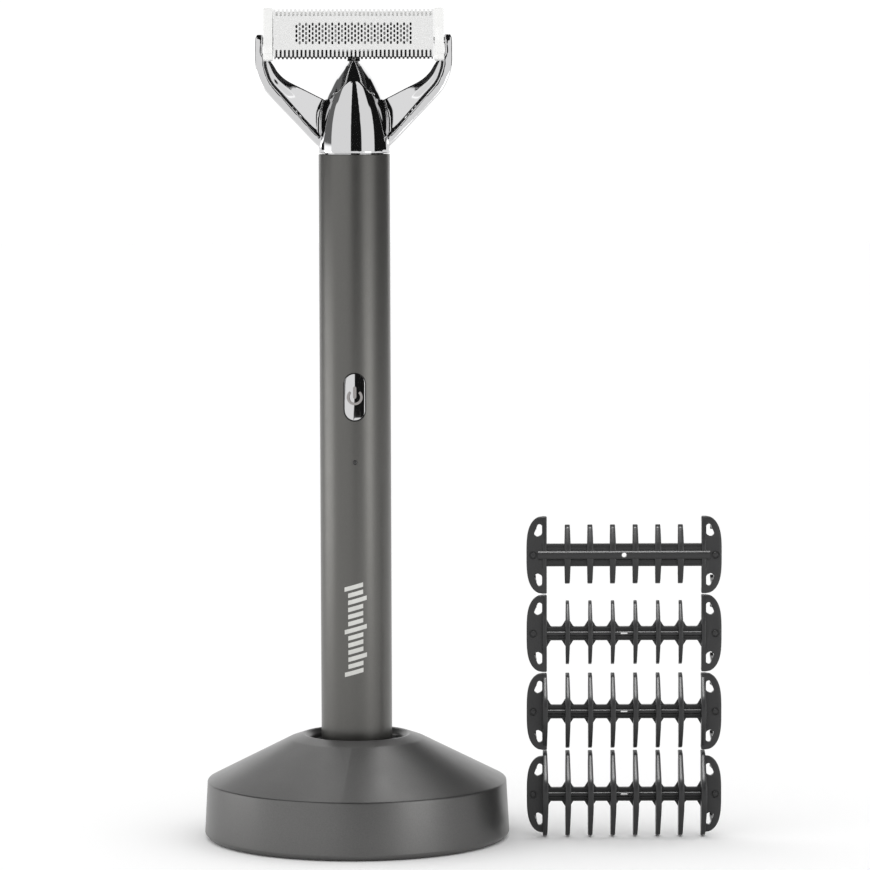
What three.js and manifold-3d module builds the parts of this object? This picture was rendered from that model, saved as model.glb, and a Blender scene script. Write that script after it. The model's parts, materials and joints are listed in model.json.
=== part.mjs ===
// A cordless body groomer standing in its charging stand, with four guide combs stacked beside it.
// Millimetres, +Z up. The origin is the centre of the stand's underside; -Y is the front, with the button.
import * as THREE from "three";
import { mergeVertices } from "three/addons/utils/BufferGeometryUtils.js";
import Module from "manifold-3d";

// ---------------------------------------------------------------- driving dimensions

// Stand
const STAND_R = 38.8; // widest radius, just above the foot
const STAND_WALL_TOP = 14.2; // where the upright wall turns into the cone
const STAND_CREST_R = 13.5; // the rounded rim around the socket
const STAND_CREST_Z = 26.3;
const SHELL_WALL = 2.0;
const MOUTH_R = 11.9; // the rim's inner wall
const PAD_R = 36.4;
const SOCKET_R = 9.35;
const SOCKET_FLOOR = 9.0;
const BASE_SCREW_COUNT = 3;
const BASE_SCREW_ORBIT = 32.6;
const INLET_Z = 6.9; // centre of the charging inlet, in the rear wall
const PIN_X = 3.2; // charging pins and contacts, either side of the middle

// Handle
const TUBE_R = 9.0;
const TUBE_BORE_R = 8.1;
const TUBE_BOTTOM = 11.3;
const TUBE_TOP = 173.8;
const BUTTON_Z = 112.9;
const LED_Z = 96.4;
const BATTERY_R = 7.0;
const BATTERY_BOTTOM = 28.2;
const BATTERY_LENGTH = 48.7;
const BOARD_SCREW_Z = [87.5, 127.5];
const MOTOR_R = 6.0;
const MOTOR_BOTTOM = 137.0;
const MOTOR_LENGTH = 24.0;
const ECCENTRIC = 0.5; // the drive pin's offset from the motor's axis

// Fork head
const HEAD_BASE = 174.2;
const NOSE_TOP = 199.0;
const NOSE_SPAN = 24.6;
const NOSE_WALL = 1.4;
const NOSE_TAPER = 1.35; // how far the front has fallen back at the brow
const BROW_HEIGHT = 17.6; // above the nose's base, where its front bends back
const BROW_SLOPE = 0.6; // how much faster the front falls back above the brow
const ARM_X = 24.8; // outer face of each arm
const ARM_INNER_X = 22.85; // inner face of each arm, beside the cartridge
const ELBOW_R = 13.5;
const ARM_BAND = 2.05; // width of the flat band along each arm's outer edge
const LEVER_PIVOT_Z = 183.0;

// Blade cartridge, in its own frame: the origin is on the pivot axis, x runs along the blade, -y is its
// cutting face, and z runs across it
const PIVOT_Z = 202.3;
const CARTRIDGE_LEAN = THREE.MathUtils.degToRad(-12);
const BLADE_MID = 1.475; // the blade's middle is this far above the pivot
const BLADE_HALF = 6.075;
const BLADE_X = 20.15;
const GUARD_FACE = -2.4;
const TOOTH_PITCH = 1.046;
const TOOTH_GAP = 0.5;
const TOOTH_DEPTH = 1.75;
const GUARD_GAPS = 38;
const GUARD_THICKNESS = 0.35;
const CUTTER_TOP = 5.1;
const CUTTER_X = 19.3;
const FOIL_SLOTS = 12;
const FOIL_SLOT_PITCH = 2.43;
const FOIL_SLOT_HALF = 0.8;
const FOIL_Z = [-1.3, 3.7];
const FRAME_X = 20.0;
const PIVOT_PIN_X = [18.6, 24.0];
const CAP_X = [20.35, 22.7];
const CAP_Z = [-4.7, 7.98];
const CAP_Y = 2.6;

// Guide combs
const COMB_X = 68;
const COMB_Y = 0;
const COMB_HALF_X = 24.6;
const COMB_PLATE_X = 19.7; // inner edge of the end plates
const COMB_HALF_Z = 9.85;
const COMB_SEAT = -2.8; // the face that lies on the blade
const COMB_PLATE = 1.2;
const RIB_PITCH = 5.74;
const GUSSET = 1.8; // how far a gusset runs along the spine from its rib
const COMB_GAP = 0.3;
const COMB_LEG_X = [22.3, 23.3];
// From the top of the stack down: cutting length, half of each rib's span, rib thickness, number of ribs,
// half of the spine's height, and how far the gussets rise above it.
const COMBS = [
  { name: "guide_comb_1", length: 1.5, span: 7.75, rib: 1.3, ribs: 6, spine: 2.85, web: 0 },
  { name: "guide_comb_2", length: 3.0, span: 8.3, rib: 1.05, ribs: 6, spine: 1.75, web: 2.55 },
  { name: "guide_comb_3", length: 5.0, span: 9.75, rib: 1.1, ribs: 8, spine: 1.75, web: 2.55 },
  { name: "guide_comb_4", length: 7.0, span: 11.05, rib: 1.4, ribs: 8, spine: 1.75, web: 2.55 },
];

// ---------------------------------------------------------------- solids

const wasm = await Module();
wasm.setup();

// A closed three.js geometry as a manifold solid.
function solid(geometry) {
  const bare = geometry.clone();
  bare.deleteAttribute("normal");
  bare.deleteAttribute("uv");
  const merged = mergeVertices(bare, 1e-4);
  const index = merged.index.array;
  const kept = [];
  for (let i = 0; i < index.length; i += 3) {
    const [a, b, c] = [index[i], index[i + 1], index[i + 2]];
    if (a !== b && b !== c && c !== a) kept.push(a, b, c);
  }
  const mesh = new wasm.Mesh({
    numProp: 3,
    vertProperties: new Float32Array(merged.attributes.position.array),
    triVerts: new Uint32Array(kept),
  });
  return new wasm.Manifold(mesh);
}

function geometryOf(manifold) {
  const mesh = manifold.getMesh();
  const positions = new THREE.BufferAttribute(new Float32Array(mesh.vertProperties), 3);
  return new THREE.BufferGeometry()
    .setAttribute("position", positions)
    .setIndex(new THREE.BufferAttribute(new Uint32Array(mesh.triVerts), 1));
}

const join = (...shapes) => geometryOf(shapes.map(solid).reduce((a, b) => a.add(b)));
const cut = (shape, ...tools) => geometryOf(tools.map(solid).reduce((a, b) => a.subtract(b), solid(shape)));

// A box between two values on each axis.
function block([x0, x1], [y0, y1], [z0, z1]) {
  const middle = [(x0 + x1) / 2, (y0 + y1) / 2, (z0 + z1) / 2];
  return new THREE.BoxGeometry(x1 - x0, y1 - y0, z1 - z0).translate(...middle);
}

// A round bar along one axis, from one value to another, at a place on the two other axes (in X, Y, Z order).
function rod(axis, r, from, to, [a, b] = [0, 0], sides = 16) {
  const bar = new THREE.CylinderGeometry(r, r, to - from, sides);
  const middle = (from + to) / 2;
  if (axis === "x") return bar.rotateZ(-Math.PI / 2).translate(middle, a, b);
  if (axis === "y") return bar.translate(a, middle, b);
  return bar.rotateX(Math.PI / 2).translate(a, b, middle);
}

// A profile of [radius, z] turned about Z. It starts and ends on the axis, or is closed by this function.
function turned(profile, sides) {
  const points = profile.map(([r, z]) => new THREE.Vector2(r, z));
  if (profile[0][0] > 0) points.push(points[0].clone());
  return new THREE.LatheGeometry(points, sides).rotateX(Math.PI / 2);
}

// A shape drawn in X and Z, extruded along Y. Its back ends at y1.
function prism(shape, [y0, y1], curveSegments = 6) {
  const made = new THREE.ExtrudeGeometry(shape, { depth: y1 - y0, bevelEnabled: false, curveSegments });
  return made.rotateX(Math.PI / 2).translate(0, y1, 0);
}

// A shape drawn in X and Y, extruded along Z.
function slab(shape, [z0, z1], curveSegments = 6) {
  const made = new THREE.ExtrudeGeometry(shape, { depth: z1 - z0, bevelEnabled: false, curveSegments });
  return made.translate(0, 0, z0);
}

// A shape drawn in Y and Z, extruded along X.
function rib(shape, [x0, x1], curveSegments = 6) {
  const made = new THREE.ExtrudeGeometry(shape, { depth: x1 - x0, bevelEnabled: false, curveSegments });
  const toYZ = new THREE.Matrix4().makeBasis(
    new THREE.Vector3(0, 1, 0),
    new THREE.Vector3(0, 0, 1),
    new THREE.Vector3(1, 0, 0),
  );
  return made.applyMatrix4(toYZ).translate(x0, 0, 0);
}

const outline = (points) => new THREE.Shape(points.map(([x, y]) => new THREE.Vector2(x, y)));

// An upright slot with round ends, wide by tall, about a centre.
function stadium(halfWidth, halfHeight, [x, y] = [0, 0]) {
  const reach = halfHeight - halfWidth;
  return new THREE.Shape()
    .absarc(x, y + reach, halfWidth, 0, Math.PI)
    .absarc(x, y - reach, halfWidth, Math.PI, 2 * Math.PI);
}

function roundedRectangle([x0, x1], [y0, y1], r) {
  return new THREE.Shape()
    .absarc(x1 - r, y1 - r, r, 0, Math.PI / 2)
    .absarc(x0 + r, y1 - r, r, Math.PI / 2, Math.PI)
    .absarc(x0 + r, y0 + r, r, Math.PI, 1.5 * Math.PI)
    .absarc(x1 - r, y0 + r, r, 1.5 * Math.PI, 2 * Math.PI);
}

// A skin over rings of points, all rings with the same number, closed by a flat fan at each end.
function loft(rings) {
  const around = rings[0].length;
  const index = [];
  for (let i = 0; i + 1 < rings.length; i++)
    for (let k = 0; k < around; k++) {
      const [a, b] = [i * around + k, i * around + ((k + 1) % around)];
      index.push(a, b, b + around, a, b + around, a + around);
    }
  const last = (rings.length - 1) * around;
  for (let k = 1; k + 1 < around; k++) index.push(0, k + 1, k, last, last + k, last + k + 1);
  const points = rings.flat();
  const volume = index.reduce((sum, _, i) => {
    if (i % 3) return sum;
    const [a, b, c] = [points[index[i]], points[index[i + 1]], points[index[i + 2]]];
    return sum + a.dot(new THREE.Vector3().crossVectors(b, c));
  }, 0);
  if (volume < 0) index.reverse();
  const geometry = new THREE.BufferGeometry().setFromPoints(points);
  return geometry.setIndex(index);
}

const mirroredX = (rings) => rings.map((ring) => ring.map((p) => new THREE.Vector3(-p.x, p.y, p.z)));
const polar = (r, turn) => [r * Math.cos(turn), r * Math.sin(turn)];

// ---------------------------------------------------------------- materials

function material(color, roughness, metalness) {
  return new THREE.MeshStandardMaterial({ color, roughness, metalness });
}

const MATERIALS = {
  gunmetal: material(0x62625f, 0.42, 0.85),
  standPaint: material(0x646464, 0.5, 0.35),
  chrome: material(0xe2e2e2, 0.05, 1),
  steel: material(0xd9d9d8, 0.25, 1),
  whitePlastic: material(0xf2f2f0, 0.35, 0),
  blackPlastic: material(0x1c1c1d, 0.45, 0),
  innerPlastic: material(0x2b2c2e, 0.6, 0),
  rubber: material(0x141414, 0.85, 0),
  board: material(0x1d4a33, 0.5, 0),
  gold: material(0xd8b25a, 0.3, 1),
  cell: material(0x2f5f9c, 0.45, 0.2),
  lens: material(0xdfe6e6, 0.15, 0),
};

const groomer = new THREE.Group();

function add(name, geometry, paint, parent = groomer) {
  const mesh = new THREE.Mesh(geometry, MATERIALS[paint]);
  mesh.name = name;
  parent.add(mesh);
  return mesh;
}

// ---------------------------------------------------------------- stand

function standShell() {
  const innerConeTop = STAND_CREST_Z - SHELL_WALL - 0.6;
  const profile = [
    [STAND_R - SHELL_WALL, 0.4],
    [STAND_R - 1.2, 0.4],
    [STAND_R, 1.6],
    [STAND_R - 0.55, STAND_WALL_TOP - 1.0],
    [STAND_R - 0.9, STAND_WALL_TOP],
    [STAND_R - 1.8, STAND_WALL_TOP + 0.7],
    [STAND_CREST_R + 3.8, STAND_CREST_Z - 1.1],
    [STAND_CREST_R + 1.9, STAND_CREST_Z - 0.25],
    [STAND_CREST_R, STAND_CREST_Z],
    [MOUTH_R + 0.5, STAND_CREST_Z - 0.5],
    [MOUTH_R, STAND_CREST_Z - 1.5],
    [MOUTH_R, innerConeTop - 1.8],
    [STAND_CREST_R + 0.5, innerConeTop - 1.8],
    [STAND_CREST_R + 2.6, innerConeTop],
    [STAND_R - SHELL_WALL - 0.7, STAND_WALL_TOP - 1.3],
  ];
  const bosses = [];
  const pilots = [];
  for (let i = 0; i < BASE_SCREW_COUNT; i++) {
    const [x, y] = baseScrewPlace(i);
    bosses.push(rod("z", 2.4, 3.7, STAND_WALL_TOP + 0.6, [x, y], 8));
    pilots.push(rod("z", 1.25, 3, 11, [x, y], 8));
  }
  const inletHole = prism(
    roundedRectangle([-4.9, 4.9], [INLET_Z - 2, INLET_Z + 2], 1.9),
    [STAND_R - SHELL_WALL - 1.6, STAND_R + 1],
    3,
  );
  return cut(join(turned(profile, 48), ...bosses), ...pilots, inletHole);
}

function baseScrewPlace(i) {
  return polar(BASE_SCREW_ORBIT, -Math.PI / 2 + (i * 2 * Math.PI) / BASE_SCREW_COUNT);
}

// The cup that holds the handle's foot, with two holes in its floor for the charging pins.
function socketCup() {
  const floor = SOCKET_FLOOR - 1.8;
  const profile = [
    [0, floor],
    [10.7, floor],
    [10.7, 19.3],
    [13.2, 19.3],
    [13.2, 21.2],
    [MOUTH_R - 0.3, 21.2],
    [MOUTH_R - 0.3, 24.6],
    [MOUTH_R - 0.6, 24.6],
    [SOCKET_R, 20.0],
    [SOCKET_R, SOCKET_FLOOR],
    [0, SOCKET_FLOOR],
  ];
  const holes = [-PIN_X, PIN_X].map((x) => rod("z", 1.55, floor - 1, SOCKET_FLOOR + 1, [x, 0], 10));
  return cut(turned(profile, 28), ...holes);
}

function ballast() {
  const profile = [
    [14, 3.7],
    [29.2, 3.7],
    [29.2, 8.2],
    [14, 8.2],
  ];
  return cut(turned(profile, 24), block([-8, 8], [8, 32], [3, 9]));
}

function basePlate() {
  const holes = [];
  for (let i = 0; i < BASE_SCREW_COUNT; i++) {
    holes.push(rod("z", 2.4, 0.5, 2.4, baseScrewPlace(i), 10), rod("z", 1.25, 1, 4, baseScrewPlace(i), 8));
  }
  return cut(rod("z", PAD_R, 1.3, 3.4, [0, 0], 48), ...holes);
}

function inletShell() {
  const outer = roundedRectangle([-4.5, 4.5], [INLET_Z - 1.6, INLET_Z + 1.6], 1.55);
  const inner = roundedRectangle([-4.2, 4.2], [INLET_Z - 1.3, INLET_Z + 1.3], 1.25);
  return cut(prism(outer, [29.5, 37.2], 3), prism(inner, [30.2, 38], 3));
}

add("base_pad", rod("z", PAD_R, 0, 1, [0, 0], 48), "rubber");
add("base_plate", basePlate(), "innerPlastic");
add("stand_shell", standShell(), "standPaint");
add("socket_cup", socketCup(), "blackPlastic");
add("ballast_ring", ballast(), "steel");
add("stand_board", block([-7, 7], [-5, 35], [3.8, 5.0]), "board");
add("inlet_shell", inletShell(), "steel");
add("inlet_tongue", block([-3.3, 3.3], [30.5, 36.2], [INLET_Z - 0.35, INLET_Z + 0.35]), "blackPlastic");
const pinBores = [-PIN_X, PIN_X].map((x) => rod("z", 1.4, 5, 8, [x, 0], 10));
add("pin_holder", cut(block([-5.5, 5.5], [-2.4, 2.4], [5.2, 6.9]), ...pinBores), "blackPlastic");
for (const [side, x] of [["left", -PIN_X], ["right", PIN_X]]) {
  const barrel = cut(rod("z", 1.2, 5.2, SOCKET_FLOOR - 0.1, [x, 0], 10), rod("z", 0.85, 5.8, 10, [x, 0], 10));
  add(`pin_barrel_${side}`, barrel, "gold");
  add(`pin_plunger_${side}`, rod("z", 0.6, 7.0, 9.7, [x, 0], 10), "gold");
}
for (let i = 0; i < BASE_SCREW_COUNT; i++) {
  const place = baseScrewPlace(i);
  const screw = join(rod("z", 2.1, 1.3, 2.3, place, 10), rod("z", 0.95, 2, 10, place, 8));
  add(`base_screw_${i + 1}`, screw, "steel");
}

// ---------------------------------------------------------------- handle

const buttonHole = prism(stadium(2.85, 6.15, [0, BUTTON_Z]), [-TUBE_R - 1, -5], 6);

function handleTube() {
  const shell = turned(
    [
      [TUBE_BORE_R, TUBE_BOTTOM],
      [TUBE_R, TUBE_BOTTOM],
      [TUBE_R, TUBE_TOP],
      [TUBE_BORE_R, TUBE_TOP],
    ],
    36,
  );
  return cut(shell, buttonHole, rod("y", 0.6, -TUBE_R - 1, -5, [0, LED_Z], 10));
}

function handleEndCap() {
  const profile = [
    [0, 9.3],
    [8.3, 9.3],
    [8.8, 9.8],
    [8.8, 11.0],
    [7.8, 11.0],
    [7.8, 17.0],
    [0, 17.0],
  ];
  const holes = [-PIN_X, PIN_X].map((x) => rod("z", 1.6, 9, 18, [x, 0], 10));
  return cut(turned(profile, 24), ...holes);
}

// A tray along the back of the handle: a C-shaped wall, partitions, and two posts for the control board.
function chassis() {
  const [inner, outer] = [7.35, 7.8];
  const reach = THREE.MathUtils.degToRad(80);
  const wall = new THREE.Shape()
    .absarc(0, 0, outer, Math.PI / 2 - reach, Math.PI / 2 + reach)
    .absarc(0, 0, inner, Math.PI / 2 + reach, Math.PI / 2 - reach, true);
  const partitions = [26.0, 78.6, 131.9].map((z) =>
    cut(rod("z", outer, z, z + 1.9, [0, 0], 16), block([-9, 9], [-9, -2.9], [z - 1, z + 3])),
  );
  const posts = BOARD_SCREW_Z.map((z) => rod("y", 1.7, -2.9, 7.5, [0, z], 10));
  const pilots = BOARD_SCREW_Z.map((z) => rod("y", 0.85, -4, 2, [0, z], 8));
  return cut(join(slab(wall, [18, 133.8], 4), ...partitions, ...posts), ...pilots);
}

function battery() {
  const top = BATTERY_BOTTOM + BATTERY_LENGTH;
  const profile = [
    [0, BATTERY_BOTTOM],
    [BATTERY_R, BATTERY_BOTTOM],
    [BATTERY_R, top],
    [2.7, top],
    [2.7, top + 1.2],
    [0, top + 1.2],
  ];
  return turned(profile, 20);
}

function motorCan() {
  const top = MOTOR_BOTTOM + MOTOR_LENGTH;
  const profile = [
    [0, MOTOR_BOTTOM],
    [MOTOR_R, MOTOR_BOTTOM],
    [MOTOR_R, top],
    [2.5, top],
    [2.5, top + 1],
    [1.05, top + 1],
    [1.05, top - 11],
    [0, top - 11],
  ];
  return turned(profile, 20);
}

function motorMount() {
  const profile = [
    [2, 134.2],
    [7.75, 134.2],
    [7.75, 163.2],
    [6.3, 163.2],
    [6.3, 136.6],
    [2, 136.6],
  ];
  return turned(profile, 20);
}

// The motor's output: a disc with a pin off its centre. The shaft ends inside it.
function driveCam() {
  const disc = [
    [0, 166.8],
    [0.95, 166.8],
    [0.95, 163.4],
    [3.2, 163.4],
    [3.2, 167.3],
    [0, 167.3],
  ];
  return join(turned(disc, 14), rod("z", 0.6, 167.1, 171.0, [0, ECCENTRIC], 10));
}

// The power button: a domed pill, a flange inside the tube that keeps it in, and a stem onto the switch.
function powerButton() {
  const pill = prism(stadium(2.45, 5.75, [0, BUTTON_Z]), [-TUBE_R - 0.1, -7.1], 6);
  const dome = rod("z", TUBE_R + 0.15, BUTTON_Z - 7, BUTTON_Z + 7, [0, 0], 48);
  const face = geometryOf(solid(pill).intersect(solid(dome)));
  const flange = prism(stadium(3.1, 6.4, [0, BUTTON_Z]), [-7.2, -6.6], 6);
  return join(face, flange, rod("y", 0.9, -6.8, -6.55, [0, BUTTON_Z], 10));
}

add("handle_tube", handleTube(), "gunmetal");
add("handle_end_cap", handleEndCap(), "blackPlastic");
for (const [side, x] of [["left", -PIN_X], ["right", PIN_X]])
  add(`charge_contact_${side}`, rod("z", 1.35, 10.1, 14.5, [x, 0], 12), "gold");
add("chassis", chassis(), "innerPlastic");
add("battery_cell", battery(), "cell");
const boardHoles = BOARD_SCREW_Z.map((z) => rod("y", 0.85, -5, -2, [0, z], 8));
add("control_board", cut(block([-5.6, 5.6], [-4.2, -3.1], [84, 131]), ...boardHoles), "board");
BOARD_SCREW_Z.forEach((z, i) => {
  const screw = join(rod("y", 1.3, -5.2, -4.4, [0, z], 10), rod("y", 0.6, -4.6, 1.2, [0, z], 8));
  add(`board_screw_${i + 1}`, screw, "steel");
});
add("tact_switch", block([-2.2, 2.2], [-5.7, -4.4], [BUTTON_Z - 2.2, BUTTON_Z + 2.2]), "blackPlastic");
add("status_led", block([-0.8, 0.8], [-5.2, -4.4], [LED_Z - 0.5, LED_Z + 0.5]), "lens");
add("light_pipe", rod("y", 0.5, -8.6, -5.4, [0, LED_Z], 10), "lens");
const sealRing = cut(
  prism(stadium(2.8, 6.1, [0, BUTTON_Z]), [-8.5, -7.5], 6),
  prism(stadium(2.55, 5.85, [0, BUTTON_Z]), [-9, -7], 6),
);
add("button_seal", sealRing, "rubber");
add("power_button", powerButton(), "chrome");
add("motor_mount", motorMount(), "innerPlastic");
add("motor_can", motorCan(), "steel");
add("motor_shaft", rod("z", 0.75, MOTOR_BOTTOM + MOTOR_LENGTH - 10.7, 166.5, [0, 0], 10), "steel");
add("drive_cam", driveCam(), "whitePlastic");

// ---------------------------------------------------------------- fork head

// The nose's shape at a height: half its width, half its depth, and how far its middle lies behind the axis.
const noseRise = (z) => Math.max(0, (z - HEAD_BASE) / NOSE_SPAN);
const noseHalfWidth = (z) => Math.max(1.75, TUBE_R * (1 - noseRise(z) ** 2.75));
const noseOffset = (z) => 1.3 * noseRise(z) ** 2;
function noseHalfDepth(z) {
  const height = Math.max(0, z - HEAD_BASE);
  const taper = NOSE_TAPER * (height / BROW_HEIGHT) ** 2.6;
  const aboveBrow = Math.max(0, height - BROW_HEIGHT);
  return TUBE_R - taper - BROW_SLOPE * aboveBrow + noseOffset(z);
}

// A body whose section is the nose's, set in by a wall, through a list of heights.
function noseBody(heights, inset, sides) {
  const profile = heights.map((z) => new THREE.Vector2(1, z));
  profile.unshift(new THREE.Vector2(0, heights[0]));
  profile.push(new THREE.Vector2(0, heights.at(-1)));
  const body = new THREE.LatheGeometry(profile, sides).rotateX(Math.PI / 2);
  const p = body.attributes.position;
  for (let i = 0; i < p.count; i++) {
    const z = p.getZ(i);
    const halfWidth = Math.max(1.35, noseHalfWidth(z) - inset);
    const halfDepth = Math.max(1.1, noseHalfDepth(z) - inset);
    p.setXYZ(i, p.getX(i) * halfWidth, p.getY(i) * halfDepth + noseOffset(z), z);
  }
  return body;
}

// The right arm's sections, from inside the nose to the pivot. Each has the outer and inner edge as [x, z],
// half the band's depth, and how far behind the axis plane the inner edge's front and back lie.
function armRings() {
  const elbow = (degrees) => {
    const turn = THREE.MathUtils.degToRad(degrees);
    const [x, z] = polar(ELBOW_R, turn);
    return [ARM_X - ELBOW_R + x, 197.7 + z];
  };
  const sections = [
    { outer: [6.5, 174.6], inner: [4.0, 186.0], depth: 3.4, front: 0.4, back: 3.0 },
    { outer: [9.4, 176.2], inner: [7.5, 187.4], depth: 3.4, front: 0.6, back: 3.0 },
    { outer: [15.2, 182.25], inner: [12.4, 190.0], depth: 3.2, front: 0.8, back: 2.8 },
    { outer: elbow(-44), inner: [17.0, 192.5], depth: 3.0, front: 0.8, back: 2.6 },
    { outer: elbow(-30), inner: [19.1, 194.2], depth: 2.9, front: 0.6, back: 2.4 },
    { outer: elbow(-14), inner: [20.1, 195.7], depth: 2.7, front: 0.2, back: 2.3 },
    { outer: elbow(-3), inner: [20.6, 196.4], depth: 2.5, front: -0.6, back: 2.2 },
    { outer: [ARM_X, 198.0], inner: [ARM_INNER_X, 197.3], depth: 2.3, front: -2.3, back: 2.1 },
    { outer: [ARM_X, 202.0], inner: [ARM_INNER_X, 202.0], depth: 2.0, front: -2.0, back: 2.0 },
    { outer: [ARM_X - 0.2, 203.1], inner: [ARM_INNER_X, 203.1], depth: 1.65, front: -1.65, back: 1.65 },
    { outer: [ARM_X - 0.6, 203.75], inner: [ARM_INNER_X, 203.75], depth: 0.95, front: -0.95, back: 0.95 },
  ];
  return sections.map(({ outer, inner, depth, front, back }) => {
    const across = new THREE.Vector2(inner[0] - outer[0], inner[1] - outer[1]);
    const band = Math.min(ARM_BAND, across.length() - 0.02);
    const crease = across.clone().setLength(band);
    return [
      new THREE.Vector3(outer[0], -depth, outer[1]),
      new THREE.Vector3(outer[0] + crease.x, -depth, outer[1] + crease.y),
      new THREE.Vector3(inner[0], front, inner[1]),
      new THREE.Vector3(inner[0], back, inner[1]),
      new THREE.Vector3(outer[0], Math.min(depth, back + 0.3), outer[1]),
    ];
  });
}

// Nose, arms and the plug that goes into the handle: one hollow casting.
function forkHead() {
  const plug = turned(
    [
      [0, 163.6],
      [7.75, 163.6],
      [7.75, 168.0],
      [6.9, 168.0],
      [6.9, 170.0],
      [7.75, 170.0],
      [7.75, HEAD_BASE + 0.4],
      [0, HEAD_BASE + 0.4],
    ],
    24,
  );
  const outer = noseBody([HEAD_BASE, 178, 182, 186, 189.5, 191.8, 194.2, 196, 197.3, NOSE_TOP], 0, 28);
  const hollow = noseBody([HEAD_BASE + 1, 180, 185, 189, 192.5, 194.5, 196, NOSE_TOP + 1], NOSE_WALL, 14);
  const bore = rod("z", 6.2, 162, HEAD_BASE + 1.5, [0, 0], 20);
  // The front of the tip is lower than its back, to let the blade swing.
  const relief = block([-4, 4], [-6, -0.45], [197.15, NOSE_TOP + 2]);
  const leverPin = rod("y", 1.0, -7.1, 7.3, [0, LEVER_PIVOT_Z], 12);
  const arms = [loft(armRings()), loft(mirroredX(armRings()))];
  const pivotHoles = [
    rod("x", 1.0, ARM_INNER_X - 1, PIVOT_PIN_X[1] + 0.1, [0, PIVOT_Z], 12),
    rod("x", 1.0, -PIVOT_PIN_X[1] - 0.1, 1 - ARM_INNER_X, [0, PIVOT_Z], 12),
  ];
  return cut(join(outer, plug, ...arms), hollow, bore, relief, leverPin, ...pivotHoles);
}

// The lever that carries the motor's motion to the blade: prongs over the cam's pin, a boss, a stem, a ball.
function driveLever() {
  const bossHalf = [
    [0.75, 171.3],
    [1.9, 171.3],
    [2.2, 181.2],
    [2.2, 184.8],
    [1.0, 187.0],
  ];
  const left = bossHalf.map(([x, z]) => [-x, z]).reverse();
  const slot = [
    [-0.75, 175],
    [0.75, 175],
  ];
  const fork = prism(outline([...bossHalf, ...left, ...slot]), [-0.7, 1.0], 4);
  const stem = block([-0.5, 0.5], [0.5, 1.6], [186, PIVOT_Z]);
  const ball = new THREE.SphereGeometry(0.75, 10, 8).translate(0, 1.05, PIVOT_Z);
  const eye = rod("y", 1.0, -3, 3, [0, LEVER_PIVOT_Z], 12);
  return cut(join(fork, stem, ball), eye);
}

add("fork_head", forkHead(), "chrome");
add("drive_lever", driveLever(), "steel");
add("lever_pin", rod("y", 0.85, -6.9, 7.1, [0, LEVER_PIVOT_Z], 12), "steel");
const oRing = new THREE.TorusGeometry(7.5, 0.45, 5, 18).translate(0, 0, 169);
add("neck_o_ring", oRing, "rubber");

// ---------------------------------------------------------------- blade cartridge

const cartridge = new THREE.Group();
cartridge.position.z = PIVOT_Z;
cartridge.rotation.x = CARTRIDGE_LEAN;
groomer.add(cartridge);

// A plate from one height to another, with square gaps along its lower edge and perhaps its upper edge too.
function toothedPlate(halfX, [low, high], gaps, bothEdges) {
  const edge = [];
  const first = (-(gaps - 1) / 2) * TOOTH_PITCH;
  for (let i = 0; i < gaps; i++) {
    const x = first + i * TOOTH_PITCH;
    const [left, right] = [x - TOOTH_GAP / 2, x + TOOTH_GAP / 2];
    edge.push([left, 0], [left, TOOTH_DEPTH], [right, TOOTH_DEPTH], [right, 0]);
  }
  const top = bothEdges ? edge.map(([x, z]) => [x, high - z]) : [];
  const bottom = edge.map(([x, z]) => [-x, low + z]);
  return outline([[-halfX, low], [-halfX, high], ...top, [halfX, high], [halfX, low], ...bottom]);
}

// The guard: toothed along both edges, with the foil's perforated field as a row of slots.
function guardPlate() {
  const thickness = [GUARD_FACE, GUARD_FACE + GUARD_THICKNESS];
  const edges = [BLADE_MID - BLADE_HALF, BLADE_MID + BLADE_HALF];
  const plate = prism(toothedPlate(BLADE_X, edges, GUARD_GAPS, true), thickness);
  const slots = [];
  for (let i = 0; i < FOIL_SLOTS; i++) {
    const x = (i - (FOIL_SLOTS - 1) / 2) * FOIL_SLOT_PITCH;
    slots.push(block([x - FOIL_SLOT_HALF, x + FOIL_SLOT_HALF], [GUARD_FACE - 1, GUARD_FACE + 1], FOIL_Z));
  }
  return cut(plate, ...slots);
}

// A frame open in the middle, with a lip behind the guard's upper teeth, a notch below for the nose, and a
// pocket at each end for a return spring.
function cartridgeFrame() {
  const lip = block([-FRAME_X, FRAME_X], [-1.75, -0.5], [CUTTER_TOP + 0.3, 7.1]);
  const body = join(block([-FRAME_X, FRAME_X], [-1.2, 2.6], [-3.4, 6.1]), lip);
  const window = block([-17, 17], [-1.5, 3], [-2.0, 4.7]);
  const notch = block([-4.8, 4.8], [-2, 3], [-4, 0]);
  const pockets = [rod("x", 2.0, 18.4, 21, [0, 0], 12), rod("x", 2.0, -21, -18.4, [0, 0], 12)];
  return cut(body, window, notch, ...pockets);
}

function endCap([x0, x1]) {
  const side = roundedRectangle([-CAP_Y, CAP_Y], CAP_Z, 0.6);
  return cut(rib(side, [x0, x1], 3), rod("x", 1.05, x0 - 1, x1 + 1, [0, 0], 12));
}

// A few turns of wire around the pivot pin.
class Coil extends THREE.Curve {
  constructor(from, to, r, turns) {
    super();
    Object.assign(this, { from, to, r, turns });
  }
  getPoint(t, target = new THREE.Vector3()) {
    const [y, z] = polar(this.r, t * this.turns * 2 * Math.PI);
    return target.set(THREE.MathUtils.lerp(this.from, this.to, t), y, z);
  }
}

function pivotSpring(from, to) {
  const wire = outline([0, 1, 2, 3, 4].map((i) => polar(0.2, (i / 5) * 2 * Math.PI)));
  const path = new Coil(from, to, 1.45, 2.5);
  return new THREE.ExtrudeGeometry(wire, { steps: 20, bevelEnabled: false, extrudePath: path });
}

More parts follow.
